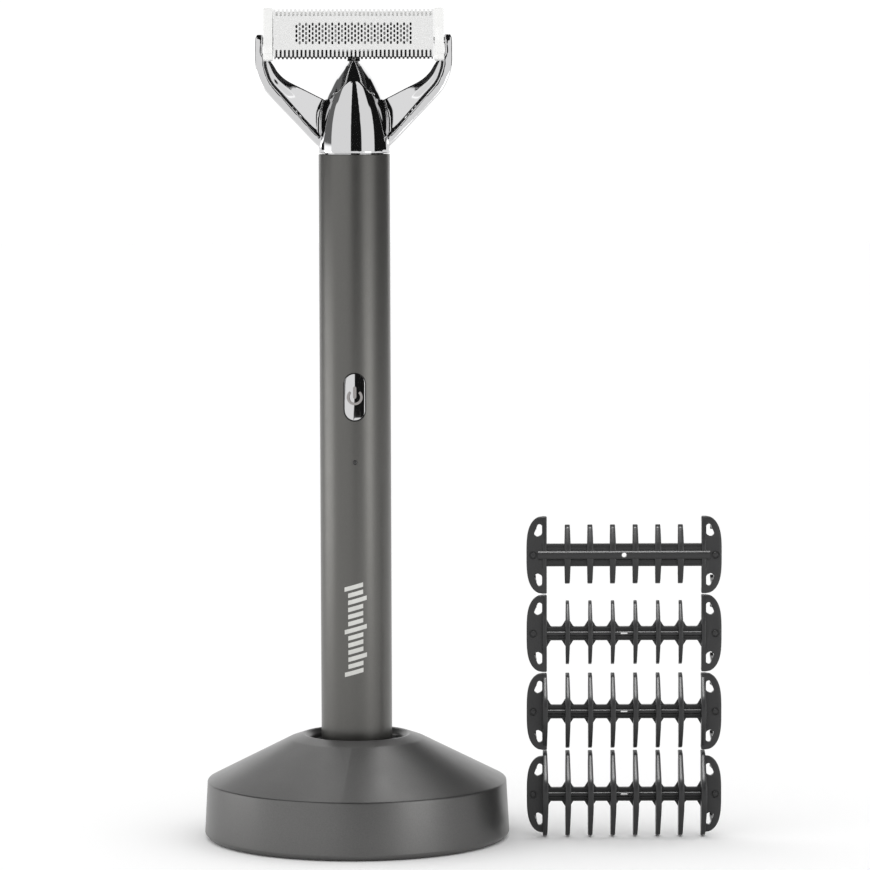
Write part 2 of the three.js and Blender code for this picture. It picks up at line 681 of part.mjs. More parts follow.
// The block that drives the cutter: the lever's ball works in its slot, which is open below and behind.
function driveBlock() {
  return cut(block([-3.2, 3.2], [-1.45, 1.9], [-1.8, 2.2]), block([-0.85, 0.85], [-0.65, 3], [-3, 1.5]));
}

add("guard_plate", guardPlate(), "steel", cartridge);
add("cartridge_frame", cartridgeFrame(), "whitePlastic", cartridge);
add("end_cap_left", endCap([-CAP_X[1], -CAP_X[0]]), "whitePlastic", cartridge);
add("end_cap_right", endCap(CAP_X), "whitePlastic", cartridge);
add("pressure_spring", block([-16.7, 16.7], [2.1, 2.35], [1.9, 3.4]), "steel", cartridge);
add("pivot_spring_left", pivotSpring(-19.9, -18.9), "steel", cartridge);
add("pivot_spring_right", pivotSpring(18.9, 19.9), "steel", cartridge);
const cutterEdges = [BLADE_MID - BLADE_HALF + 0.25, CUTTER_TOP];
const cutterPlate = toothedPlate(CUTTER_X, cutterEdges, GUARD_GAPS - 2, false);
add("moving_cutter", prism(cutterPlate, [-1.95, -1.6]), "steel", cartridge);
add("drive_block", driveBlock(), "blackPlastic", cartridge);
const [pinStart, pinEnd] = PIVOT_PIN_X;
add("pivot_pin_left", rod("x", 0.85, -pinEnd, -pinStart, [0, PIVOT_Z], 12), "steel");
add("pivot_pin_right", rod("x", 0.85, pinStart, pinEnd, [0, PIVOT_Z], 12), "steel");

// ---------------------------------------------------------------- guide combs

// Each comb in its own frame: x along it, z across it, and -y the side that glides on the skin.

// The spine seen from the front, with a gusset at each rib's root.
function combSpine({ spine, web }) {
  const right = [];
  const bays = web > 0 ? Math.ceil(COMB_PLATE_X / RIB_PITCH) : 0;
  for (let i = 0; i < bays; i++) {
    const start = (i - 0.5) * RIB_PITCH;
    if (i > 0) right.push([start, spine + web], [start + GUSSET, spine]);
    right.push([start + RIB_PITCH - GUSSET, spine]);
  }
  right.push([COMB_PLATE_X + 0.4, spine + web]);
  const top = [...right.map(([x, z]) => [-x, z]).reverse(), ...right];
  return outline([...top, ...top.map(([x, z]) => [x, -z]).reverse()]);
}

// An end plate: straight towards the ribs, round outside, with a window through each corner.
function combEndPlate(side) {
  const [inner, outer, high] = [COMB_PLATE_X * side, (COMB_HALF_X - 0.15) * side, COMB_HALF_Z];
  const plate = new THREE.Shape()
    .moveTo(inner, -high)
    .lineTo(inner + 1.6 * side, -high)
    .quadraticCurveTo(outer - 0.6 * side, -high + 0.6, outer - 0.2 * side, -4.2)
    .quadraticCurveTo(outer + 0.2 * side, 0, outer - 0.2 * side, 4.2)
    .quadraticCurveTo(outer - 0.6 * side, high - 0.6, inner + 1.6 * side, high)
    .lineTo(inner, high);
  for (const z of [-6.4, 6.4]) {
    plate.holes.push(new THREE.Path().absellipse(21.6 * side, z, 0.75, 1.75, 0, 2 * Math.PI));
  }
  return plate;
}

// A rib's side view. Its ends reach round both edges of the blade.
function combRib({ length, span }) {
  const half = [
    [COMB_SEAT - length, 4.2],
    [COMB_SEAT - 0.85 * length, span - 1.5],
    [COMB_SEAT - 0.45 * length, span],
    [COMB_SEAT + 0.6, span],
    [COMB_SEAT + 1.4, span - 0.4],
    [COMB_SEAT + 0.8, span - 1.2],
    [COMB_SEAT, 6.4],
  ];
  return outline([...half, ...half.map(([y, z]) => [y, -z]).reverse()]);
}

// A clip leg beside a window, which hooks over the back of the cartridge's end cap.
function combLeg(side) {
  const leg = [
    [COMB_SEAT - 0.2, 6.45],
    [2.75, 6.45],
    [2.75, 5.85],
    [3.4, 5.85],
    [3.4, 7.0],
    [COMB_SEAT - 0.2, 8.6],
  ];
  return outline(leg.map(([y, z]) => [y, z * side]));
}

function guideComb(comb) {
  const [front, back] = [COMB_SEAT - COMB_PLATE, COMB_SEAT];
  const ridge = comb.web > 0 ? 0.65 : 1.9;
  const pieces = [
    prism(combSpine(comb), [front, back]),
    block([-COMB_PLATE_X - 0.5, COMB_PLATE_X + 0.5], [front - 0.6, front + 0.2], [-ridge, ridge]),
  ];
  for (let i = 0; i < comb.ribs; i++) {
    const x = (i - (comb.ribs - 1) / 2) * RIB_PITCH;
    pieces.push(rib(combRib(comb), [x - comb.rib / 2, x + comb.rib / 2]));
  }
  for (const side of [-1, 1]) {
    const legX = side > 0 ? COMB_LEG_X : [-COMB_LEG_X[1], -COMB_LEG_X[0]];
    pieces.push(prism(combEndPlate(side), [front, back], 3), rib(combLeg(-1), legX), rib(combLeg(1), legX));
  }
  return cut(join(...pieces), rod("y", 0.6, front - 2, back + 1, [0, 0], 6));
}

// The combs stand on their long edges, one on another, the longest at the bottom.
let stackTop = 0;
for (const comb of [...COMBS].reverse()) {
  const half = Math.max(comb.span, COMB_HALF_Z);
  const mesh = add(comb.name, guideComb(comb), "blackPlastic");
  mesh.position.set(COMB_X, COMB_Y, stackTop + half);
  stackTop += 2 * half + COMB_GAP;
}

export default groomer;
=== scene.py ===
# The looks of a cordless body groomer in its charging stand, with its stack of guide combs.
# Shapes are drawn in millimetres and become metres when a mesh is made. -Y is the front.
import json
import math

import bmesh
import bpy
from mathutils import Matrix, Vector


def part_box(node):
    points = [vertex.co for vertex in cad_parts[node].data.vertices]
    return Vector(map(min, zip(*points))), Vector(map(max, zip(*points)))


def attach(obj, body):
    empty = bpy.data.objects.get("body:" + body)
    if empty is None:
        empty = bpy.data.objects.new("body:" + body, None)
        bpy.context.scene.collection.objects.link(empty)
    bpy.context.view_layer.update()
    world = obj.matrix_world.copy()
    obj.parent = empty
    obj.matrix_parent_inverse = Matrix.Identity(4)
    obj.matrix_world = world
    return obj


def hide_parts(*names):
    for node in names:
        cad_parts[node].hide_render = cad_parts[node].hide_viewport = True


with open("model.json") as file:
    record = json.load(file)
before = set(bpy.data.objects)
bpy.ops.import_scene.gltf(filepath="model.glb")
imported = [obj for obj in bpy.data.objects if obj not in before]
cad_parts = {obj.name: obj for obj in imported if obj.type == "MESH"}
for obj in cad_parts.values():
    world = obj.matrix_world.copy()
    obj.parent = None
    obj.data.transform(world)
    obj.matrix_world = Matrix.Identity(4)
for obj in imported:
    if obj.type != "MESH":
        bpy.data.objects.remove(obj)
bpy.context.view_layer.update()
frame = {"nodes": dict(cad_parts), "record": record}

MM = 0.001
FULL_TURN = 2 * math.pi
# Radii under this lie on a lathe's axis, and points nearer to each other than the weld are one.
ON_AXIS = 1e-6
WELD = 1e-4


def cad_box(node):
    """A CAD node's lowest and highest corners, in millimetres."""
    low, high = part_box(node)
    return low / MM, high / MM


def cad_middle(node, axis):
    """The middle of a CAD node's box along an axis, in millimetres."""
    low, high = cad_box(node)
    return (getattr(low, axis) + getattr(high, axis)) / 2


# ---------------------------------------------------------------- measures taken from the frame

tube_low, tube_high = cad_box("handle_tube")
TUBE_R = tube_high.x
STAND_R = cad_box("stand_shell")[1].x
PAD_R = cad_box("base_pad")[1].x
ARM_X = cad_box("fork_head")[1].x
PIPE_FRONT = cad_box("light_pipe")[0].y
CHARGE_PIN_X = cad_middle("pin_plunger_right", "x")
BUTTON_Z = cad_middle("power_button", "z")
LED_Z = cad_middle("light_pipe", "z")
INLET_Z = cad_middle("inlet_shell", "z")
PIVOT_Z = cad_middle("pivot_pin_right", "z")
HEAD_GAP = 0.4
HEAD_BASE = tube_high.z + HEAD_GAP
CARTRIDGE_LEAN = math.radians(-12)
CARTRIDGE = Matrix.Translation((0, 0, PIVOT_Z)) @ Matrix.Rotation(CARTRIDGE_LEAN, 4, "X")

# ---------------------------------------------------------------- mesh helpers


def bridge(bm, low, high):
    """Faces between two rings of vertices."""
    for k in range(len(low)):
        after = (k + 1) % len(low)
        bm.faces.new((low[k], low[after], high[after], high[k]))


def mesh_object(name, bm, place=None):
    """An object from a bmesh drawn in millimetres, with its faces turned out."""
    if place is not None:
        bmesh.ops.transform(bm, matrix=place, verts=bm.verts)
    bmesh.ops.scale(bm, vec=(MM, MM, MM), verts=bm.verts)
    bmesh.ops.recalc_face_normals(bm, faces=bm.faces)
    mesh = bpy.data.meshes.new(name)
    bm.to_mesh(mesh)
    bm.free()
    obj = bpy.data.objects.new(name, mesh)
    bpy.context.scene.collection.objects.link(obj)
    return obj


def smooth(obj, degrees=32):
    """Smooth shading, with edges sharper than an angle kept crisp."""
    obj.data.polygons.foreach_set("use_smooth", [True] * len(obj.data.polygons))
    obj.data.set_sharp_from_angle(angle=math.radians(degrees))
    return obj


def settle(obj):
    """Bakes an object's modifiers into its mesh."""
    graph = bpy.context.evaluated_depsgraph_get()
    made = bpy.data.meshes.new_from_object(obj.evaluated_get(graph))
    obj.modifiers.clear()
    obj.data = made
    return obj


def combine(obj, tools, operation):
    """Applies a boolean with each tool, and removes the tools."""
    for tool in tools:
        step = obj.modifiers.new("combine", "BOOLEAN")
        step.operation = operation
        step.solver = "MANIFOLD"
        step.object = tool
        settle(obj)
        bpy.data.objects.remove(tool)
    return obj


def cut(obj, *tools):
    return combine(obj, tools, "DIFFERENCE")


def join(obj, *tools):
    return combine(obj, tools, "UNION")


def bevel(obj, width, segments=3, degrees=30):
    """Rounds the edges sharper than an angle."""
    step = obj.modifiers.new("bevel", "BEVEL")
    step.width = width * MM
    step.segments = segments
    step.limit_method = "ANGLE"
    step.angle_limit = math.radians(degrees)
    return settle(obj)


def rounded(points, closed=False, steps=6):
    """A path whose points with a third value have that corner radius."""
    path = []
    last = len(points) - 1
    for i, point in enumerate(points):
        here = Vector(point[:2])
        if len(point) < 3 or (not closed and i in (0, last)):
            path.append(here)
            continue
        before = (Vector(points[i - 1][:2]) - here).normalized()
        after = (Vector(points[(i + 1) % len(points)][:2]) - here).normalized()
        half = before.angle(after) / 2
        centre = here + (before + after).normalized() * (point[2] / math.sin(half))
        reach = point[2] / math.tan(half)
        start = here + before * reach - centre
        end = here + after * reach - centre
        turn = math.atan2(start.x * end.y - start.y * end.x, start.dot(end))
        for k in range(steps + 1):
            path.append(centre + Matrix.Rotation(turn * k / steps, 2) @ start)
    return [(p.x, p.y) for p in path]


def lathe(name, profile, sides=160):
    """A profile of (radius, z) turned about Z. It starts and ends on the axis, or closes on itself."""
    bm = bmesh.new()
    rings = []
    for r, z in profile:
        if r < ON_AXIS:
            rings.append([bm.verts.new((0, 0, z))] * sides)
            continue
        turns = [FULL_TURN * k / sides for k in range(sides)]
        rings.append([bm.verts.new((r * math.cos(t), r * math.sin(t), z)) for t in turns])
    pairs = list(zip(rings, rings[1:]))
    if profile[0][0] > ON_AXIS:
        pairs.append((rings[-1], rings[0]))
    for low, high in pairs:
        for k in range(sides):
            after = (k + 1) % sides
            corners = []
            for vert in (low[k], low[after], high[after], high[k]):
                if vert not in corners:
                    corners.append(vert)
            if len(corners) > 2:
                bm.faces.new(corners)
    return mesh_object(name, bm)


# Planes that an outline can be drawn in: which way its u, its v and its depth run.
FRONT = Matrix(((1, 0, 0, 0), (0, 0, 1, 0), (0, 1, 0, 0), (0, 0, 0, 1)))
SIDE = Matrix(((0, 0, 1, 0), (1, 0, 0, 0), (0, 1, 0, 0), (0, 0, 0, 1)))
FLAT = Matrix.Identity(4)


def slab(name, outline, depth, plane=FRONT, place=None):
    """An outline extruded between two depths, drawn in X and Z in FRONT and in Y and Z in SIDE."""
    bm = bmesh.new()
    low, high = [[bm.verts.new((u, v, d)) for u, v in outline] for d in depth]
    bm.faces.new(low)
    bm.faces.new(high)
    bridge(bm, low, high)
    return mesh_object(name, bm, (place or Matrix.Identity(4)) @ plane)


def box(name, x, y, z, place=None):
    corners = [(x[0], z[0]), (x[1], z[0]), (x[1], z[1]), (x[0], z[1])]
    return slab(name, corners, y, FRONT, place)


def circle(r, centre=(0, 0), sides=32):
    turns = [FULL_TURN * k / sides for k in range(sides)]
    return [(centre[0] + r * math.cos(t), centre[1] + r * math.sin(t)) for t in turns]


def stadium(half_width, half_height, centre=(0, 0), steps=16):
    """An upright slot with round ends."""
    reach = half_height - half_width
    points = []
    for end, start_turn in ((reach, 0), (-reach, math.pi)):
        for k in range(steps + 1):
            t = start_turn + math.pi * k / steps
            u, v = half_width * math.cos(t), half_width * math.sin(t)
            points.append((centre[0] + u, centre[1] + end + v))
    return points


def perforated(name, outlines, depth, place=None):
    """A thin sheet drawn in X and Z, with every outline after the first a hole through it."""
    curve = bpy.data.curves.new(name, "CURVE")
    curve.dimensions = "2D"
    curve.fill_mode = "BOTH"
    curve.extrude = (depth[1] - depth[0]) / 2
    for outline in outlines:
        spline = curve.splines.new("POLY")
        spline.points.add(len(outline) - 1)
        for point, (u, v) in zip(spline.points, outline):
            point.co = (u, v, 0, 1)
        spline.use_cyclic_u = True
    drawn = bpy.data.objects.new(name, curve)
    bpy.context.scene.collection.objects.link(drawn)
    made = bpy.data.meshes.new_from_object(drawn.evaluated_get(bpy.context.evaluated_depsgraph_get()))
    bpy.data.objects.remove(drawn)
    bm = bmesh.new()
    bm.from_mesh(made)
    bmesh.ops.remove_doubles(bm, verts=bm.verts, dist=WELD)
    middle = Matrix.Translation((0, 0, (depth[0] + depth[1]) / 2))
    return mesh_object(name, bm, (place or Matrix.Identity(4)) @ FRONT @ middle)


def loft(name, rings, closed=False):
    """A skin over rings of points, which closes on itself or has a flat face at each end."""
    bm = bmesh.new()
    made = [[bm.verts.new(p) for p in ring] for ring in rings]
    for low, high in zip(made, made[1:]):
        bridge(bm, low, high)
    if closed:
        bridge(bm, made[-1], made[0])
    else:
        bm.faces.new(made[0])
        bm.faces.new(made[-1])
    return mesh_object(name, bm)


def mirror_x(obj):
    """A copy mirrored to the other side of X."""
    bm = bmesh.new()
    bm.from_mesh(obj.data)
    bmesh.ops.scale(bm, vec=(-1 / MM, 1 / MM, 1 / MM), verts=bm.verts)
    return mesh_object(obj.name + "_mirrored", bm)


# ---------------------------------------------------------------- materials


class Paint:
    """A node material on one Principled shader, with helpers for procedural detail."""

    def __init__(self, name, color, roughness, metallic=0.0, **sockets):
        self.material = bpy.data.materials.new(name)
        self.material.use_nodes = True
        self.nodes = self.material.node_tree.nodes
        self.links = self.material.node_tree.links
        self.shader = self.nodes["Principled BSDF"]
        self.color = color
        self.roughness = roughness
        self.shader.inputs["Base Color"].default_value = (*color, 1)
        self.shader.inputs["Roughness"].default_value = roughness
        self.shader.inputs["Metallic"].default_value = metallic
        for socket, value in sockets.items():
            self.shader.inputs[socket.replace("_", " ")].default_value = value
        self.material.diffuse_color = (*color, 1)
        coordinates = self.nodes.new("ShaderNodeTexCoord")
        self.place = coordinates.outputs["Object"]

    def noise(self, scale, detail=4.0, stretch=(1, 1, 1)):
        """Noise in the piece's own coordinates, in metres. A larger stretch makes it finer that way."""
        mapping = self.nodes.new("ShaderNodeMapping")
        mapping.inputs["Scale"].default_value = stretch
        self.links.new(self.place, mapping.inputs["Vector"])
        noise = self.nodes.new("ShaderNodeTexNoise")
        noise.inputs["Scale"].default_value = scale
        noise.inputs["Detail"].default_value = detail
        self.links.new(mapping.outputs["Vector"], noise.inputs["Vector"])
        return noise.outputs["Fac"]

    def between(self, source, low, high):
        """A texture spread over a range."""
        scaled = self.nodes.new("ShaderNodeMapRange")
        scaled.inputs["To Min"].default_value = low
        scaled.inputs["To Max"].default_value = high
        self.links.new(source, scaled.inputs["Value"])
        return scaled.outputs["Result"]

    def vary_color(self, source, amount):
        """The base colour, darker and lighter by a share."""
        ramp = self.nodes.new("ShaderNodeValToRGB")
        ramp.color_ramp.elements[0].position = 0.3
        ramp.color_ramp.elements[1].position = 0.7
        ramp.color_ramp.elements[0].color = (*[c * (1 - amount) for c in self.color], 1)
        ramp.color_ramp.elements[1].color = (*[min(1, c * (1 + amount)) for c in self.color], 1)
        self.links.new(source, ramp.inputs["Fac"])
        self.links.new(ramp.outputs["Color"], self.shader.inputs["Base Color"])
        return self

    def vary_roughness(self, source, amount):
        """The base roughness, more and less by an amount."""
        value = self.between(source, self.roughness - amount, self.roughness + amount)
        self.links.new(value, self.shader.inputs["Roughness"])
        return self

    def bump(self, source, depth, strength=1.0):
        """Relief of a depth in millimetres."""
        bump = self.nodes.new("ShaderNodeBump")
        bump.inputs["Strength"].default_value = strength
        bump.inputs["Distance"].default_value = depth * MM
        self.links.new(source, bump.inputs["Height"])
        self.links.new(bump.outputs["Normal"], self.shader.inputs["Normal"])
        return self


def satin_paint():
    """The handle's dark satin lacquer, with a fine metallic grain."""
    paint = Paint("tube_paint", (0.125, 0.123, 0.117), 0.34, 0.85)
    grain = paint.noise(9000, 2)
    paint.vary_color(grain, 0.10)
    paint.vary_roughness(paint.noise(240, 5), 0.035)
    return paint.bump(grain, 0.004, 0.5).material


def stand_paint():
    """The stand's finish, a little coarser and rougher than the handle's."""
    paint = Paint("stand_plastic", (0.135, 0.134, 0.132), 0.36, 0.85)
    grain = paint.noise(6500, 3)
    paint.vary_color(paint.noise(3500, 3), 0.07)
    paint.vary_roughness(paint.noise(180, 5), 0.04)
    return paint.bump(grain, 0.006, 0.5).material


def chrome():
    """Polished chrome, a little uneven."""
    paint = Paint("chrome", (0.62, 0.62, 0.625), 0.04, 1.0)
    return paint.vary_roughness(paint.noise(300, 6), 0.02).material


def brushed_steel(name, color, metallic):
    """Sheet steel with fine strokes along its length."""
    paint = Paint(name, color, 0.34, metallic)
    strokes = paint.noise(700, 4, (1, 1, 14))
    paint.vary_color(strokes, 0.04)
    paint.vary_roughness(strokes, 0.07)
    return paint.bump(strokes, 0.002, 0.4).material


def moulded(name, color, roughness, grain=2500, relief=0.006, **sockets):
    """Plastic, rubber or ink with a fine moulded grain. The relief is in millimetres."""
    paint = Paint(name, color, roughness, 0.0, **sockets)
    texture = paint.noise(grain, 4)
    paint.vary_color(paint.noise(grain / 8, 3), 0.06)
    paint.vary_roughness(texture, 0.05)
    return paint.bump(texture, relief, 0.6).material


def turned_metal(name, color, roughness):
    """Plain machined metal with faint tool marks."""
    paint = Paint(name, color, roughness, 1.0)
    rings = paint.noise(900, 3, (1, 1, 6))
    paint.vary_color(rings, 0.06)
    return paint.vary_roughness(rings, 0.08).material


# By the record's slot names, with a few more for pieces that need a paint of their own.
MATERIALS = {
    "tube_paint": satin_paint(),
    "stand_plastic": stand_paint(),
    "chrome": chrome(),
    "blade_steel": brushed_steel("blade_steel", (0.87, 0.87, 0.865), 0.2),
    # A darker copy of the blade steel, used on the cutter as painted shade, since the cutter sits in
    # shade behind the foil.
    "cutter_steel": brushed_steel("cutter_steel", (0.4, 0.4, 0.4), 0.3),
    "white_plastic": moulded("white_plastic", (0.86, 0.86, 0.85), 0.38, 1800, 0.004),
    "comb_plastic": moulded(
        "comb_plastic", (0.016, 0.016, 0.0165), 0.33, 2600, 0.006, Specular_IOR_Level=0.4),
    "inner_plastic": moulded("inner_plastic", (0.03, 0.031, 0.033), 0.55),
    "socket_plastic": moulded("socket_plastic", (0.018, 0.018, 0.019), 0.5),
    "rubber": moulded("rubber", (0.012, 0.012, 0.012), 0.8, 1500, 0.02),
    "inner_steel": turned_metal("inner_steel", (0.58, 0.58, 0.57), 0.3),
    "board": moulded("board", (0.018, 0.09, 0.045), 0.45, 1200, 0.01),
    "gold": turned_metal("gold", (0.83, 0.60, 0.26), 0.22),
    "cell_wrap": moulded("cell_wrap", (0.04, 0.13, 0.33), 0.3, 900, 0.01),
    "lens": moulded("lens", (0.03, 0.03, 0.03), 0.12, 2000, 0.001),
    "mark_ink": moulded("mark_ink", (0.6, 0.6, 0.575), 0.5, 4000, 0.004),
    "icon_grey": moulded("icon_grey", (0.27, 0.255, 0.25), 0.45, 4000, 0.004),
}


def dress(obj, slot, body, replaces=(), paint=None):
    """Gives a piece its paint, which is the slot's unless another is named, and its body, and hides the
    CAD nodes that it stands for.
    """
    obj.data.materials.clear()
    obj.data.materials.append(MATERIALS[paint or slot])
    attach(obj, body)
    if replaces:
        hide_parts(*replaces)
    return obj


for part in frame["record"]["subparts"]:
    node = frame["nodes"][part["node"]]
    node.data.materials.clear()
    node.data.materials.append(MATERIALS[part["material_slot"]])

# ---------------------------------------------------------------- stand

SIDE_HEIGHT = 14.6
SHOULDER_R = 17.2
SHOULDER_HEIGHT = 25.25
RIM_R = 13.4
RIM_HEIGHT = 26.55
MOUTH_R = 11.9
SEAT_HEIGHT = 21.6
INLET_HALF_WIDTH = 4.9
INLET_HALF_HEIGHT = 2
INLET_CORNER = 1.95
CUP_R = 10.7
CUP_FLANGE_R = 11.85
CUP_BORE_R = 9.35
CUP_BOTTOM = 7.2
CUP_FLOOR = 9.0
CUP_TOP = 24.3
CHARGE_PIN_HOLE_R = 1.5
PAD_HEIGHT = 1.0
PAD_GROOVE = 0.3
PAD_HOLLOW = 0.15


def stand_shell():
    """The stand's shell: an upright side, a straight cone, a soft rim and the inlet's slot."""
    profile = [
        (STAND_R - 2.2, 0.4),
        (STAND_R - 1.0, 0.15, 0.5),
        (STAND_R + 0.05, 1.3, 0.9),
        (STAND_R - 0.7, SIDE_HEIGHT, 0.6),
        (SHOULDER_R, SHOULDER_HEIGHT, 6),
        (RIM_R, RIM_HEIGHT, 1.0),
        (MOUTH_R, 25.0, 1.6),
        (MOUTH_R, SEAT_HEIGHT),
        (14.2, SEAT_HEIGHT),
        (16.1, 23.0, 2),
        (STAND_R - 3, 12.9, 1),
        (STAND_R - 2.2, 9),
    ]
    shell = lathe("stand_body", rounded(profile, steps=10), 240)
    corners = [(-1, -1), (1, -1), (1, 1), (-1, 1)]
    slot = [(u * INLET_HALF_WIDTH, v * INLET_HALF_HEIGHT, INLET_CORNER) for u, v in corners]
    slot = [(u, v + INLET_Z) for u, v in rounded(slot, closed=True, steps=8)]
    cut(shell, slab("slot", slot, (STAND_R - 6, STAND_R + 3)))
    return dress(smooth(shell), "stand_plastic", "stand", ["stand_shell"])


def socket_cup():
    """The cup that the handle stands in, with a hole in its floor for each charging pin."""
    profile = [
        (0, CUP_BOTTOM),
        (CUP_R, CUP_BOTTOM, 0.5),
        (CUP_R, 21.2),
        (CUP_FLANGE_R, 21.2),
        (CUP_FLANGE_R, CUP_TOP, 0.3),
        (11.2, CUP_TOP, 0.5),
        (9.9, 21.6, 2),
        (CUP_BORE_R, 18.5, 2),
        (CUP_BORE_R, CUP_FLOOR, 0.8),
        (0, CUP_FLOOR),
    ]
    cup = lathe("socket_liner", rounded(profile), 128)
    for x in (-CHARGE_PIN_X, CHARGE_PIN_X):
        cut(cup, slab("hole", circle(CHARGE_PIN_HOLE_R, (x, 0)), (CUP_BOTTOM - 2, CUP_FLOOR + 3), FLAT))
    return dress(smooth(cup), "socket_plastic", "stand", ["socket_cup"])


def base_pad():
    """The rubber foot: a shallow hollow in its middle, and a groove near its edge."""
    profile = [
        (0, PAD_HOLLOW),
        (8, PAD_HOLLOW),
        (8.4, 0),
        (PAD_R - 6, 0, 0.1),
        (PAD_R - 5.6, PAD_GROOVE, 0.1),
        (PAD_R - 4.6, PAD_GROOVE, 0.1),
        (PAD_R - 4.2, 0, 0.1),
        (PAD_R - 0.3, 0, 0.25),
        (PAD_R, PAD_HEIGHT / 2, 0.2),
        (PAD_R, PAD_HEIGHT),
        (0, PAD_HEIGHT),
    ]
    return dress(smooth(lathe("foot_pad", rounded(profile), 160)), "rubber", "stand", ["base_pad"])


# ---------------------------------------------------------------- handle

TUBE_WALL = 0.9
LED_HOLE_R = 0.6
BUTTON_HALF_WIDTH = 2.5
BUTTON_HALF_HEIGHT = 5.8
BUTTON_GAP = 0.35
SEAL_BACK = -7.6
SEAL_EDGE = -8.55
SEAL_LIP = -8.72
BUTTON_FACE = -9.15
BUTTON_LEAN = math.radians(-3.2)
CROWN_R = 7.7
CREST_X = 0.7
FLANGE_REACH = 0.6
STEM_R = 0.9
# The button's face leans back a little about its middle.
LEAN_BACK = (
    Matrix.Translation((0, BUTTON_FACE, BUTTON_Z))
    @ Matrix.Rotation(BUTTON_LEAN, 4, "X")
    @ Matrix.Translation((0, -BUTTON_FACE, -BUTTON_Z))
)
LENS_R = 0.57
LENS_EDGE = 0.32
LENS_RISE = 0.3
ICON_R = 1.7
ICON_HALF_LINE = 0.31
ICON_BREAK = math.radians(42)
ICON_DEPTH = (-9.25, -8.7)
MARK_LOW = 41.9
MARK_HIGH = 65.4
MARK_BARS = 13
MARK_SHORT = 1.9
MARK_LONG = 2.8
MARK_SLANT = 0.8
MARK_FILL = 0.62


def button_outline(extra, steps):
    """The button's outline, larger by so much all round."""
    return stadium(BUTTON_HALF_WIDTH + extra, BUTTON_HALF_HEIGHT + extra, (0, BUTTON_Z), steps)


def handle_tube():
    """The tube, thin-walled with soft ends, with holes for the button and the status light."""
    inner = TUBE_R - TUBE_WALL
    low, high = tube_low.z, tube_high.z
    profile = [(inner, low), (TUBE_R, low, 0.35), (TUBE_R, high, 0.22), (inner, high, 0.2)]
    profile = rounded([*profile, (inner, (low + high) / 2)], steps=5)
    tube = lathe("handle_body", profile, 256)
    through = (-TUBE_R - 2, -4)
    cut(
        tube,
        slab("hole", button_outline(BUTTON_GAP, 24), through),
        slab("hole", circle(LED_HOLE_R, (0, LED_Z), 24), through),
    )
    return dress(smooth(tube, 25), "tube_paint", "groomer", ["handle_tube"])


def button_seal():
    """A rubber ring in the gap round the button, its lip just below the front of the tube."""
    outer, inner = BUTTON_GAP - 0.03, 0.1
    section = [
        (outer, SEAL_BACK),
        (outer, SEAL_EDGE),
        (outer - 0.1, SEAL_LIP),
        (inner, SEAL_EDGE),
        (inner, SEAL_BACK),
    ]
    rings = [[(u, y, v) for u, v in button_outline(extra, 24)] for extra, y in section]
    rim = loft("button_rim", rings, closed=True)
    return dress(smooth(rim), "rubber", "groomer", ["button_seal"])


def power_button():
    """A pill with a crowned face. Its flange and stem are the CAD part's."""
    pill = slab("button_cap", button_outline(0, 32), (BUTTON_FACE - 0.25, -7.1))
    crown = circle(CROWN_R, (CREST_X, CROWN_R + BUTTON_FACE), 200)
    combine(pill, [slab("crown", crown, (BUTTON_Z - 8, BUTTON_Z + 8), FLAT, LEAN_BACK)], "INTERSECT")
    bevel(pill, 0.16, 3, 40)
    flange = slab("flange", button_outline(FLANGE_REACH, 16), (-7.2, -6.6))
    stem = slab("stem", circle(STEM_R, (0, BUTTON_Z), 24), (-6.8, -6.55))
    join(pill, flange, stem)
    return dress(smooth(pill, 10), "chrome", "button", ["power_button"])


def light_lens():
    """A small lens over the end of the light pipe, with a domed face."""
    steps = 8
    profile = [(0, 0), (LENS_R, 0)]
    for k in range(steps + 1):
        t = math.pi / 2 * k / steps
        profile.append((LENS_R * math.cos(t), LENS_EDGE + LENS_RISE * math.sin(t)))
    dome = lathe("light_lens", profile, 32)
    faced_forward = Matrix.Rotation(math.pi / 2, 4, "X")
    dome.data.transform(Matrix.Translation((0, PIPE_FRONT * MM, LED_Z * MM)) @ faced_forward)
    return dress(smooth(dome, 50), "lens", "groomer")


def power_icon():
    """The generic power symbol, a broken ring and a bar, standing a little proud of the button."""
    steps = 28
    outline = []
    for radius, turns in (
        (ICON_R + ICON_HALF_LINE, range(steps + 1)),
        (ICON_R - ICON_HALF_LINE, range(steps, -1, -1)),
    ):
        for k in turns:
            t = math.pi / 2 + ICON_BREAK + (FULL_TURN - 2 * ICON_BREAK) * k / steps
            outline.append((radius * math.cos(t), BUTTON_Z + radius * math.sin(t)))
    ring = slab("power_icon", outline, ICON_DEPTH, FRONT, LEAN_BACK)
    bevel(ring, 0.1, 2, 50)
    bar = slab("bar", stadium(0.42, 1.55, (0, BUTTON_Z + 1.15), 8), ICON_DEPTH, FRONT, LEAN_BACK)
    join(ring, bevel(bar, 0.1, 2, 50))
    return dress(smooth(ring), "chrome", "button", paint="icon_grey")


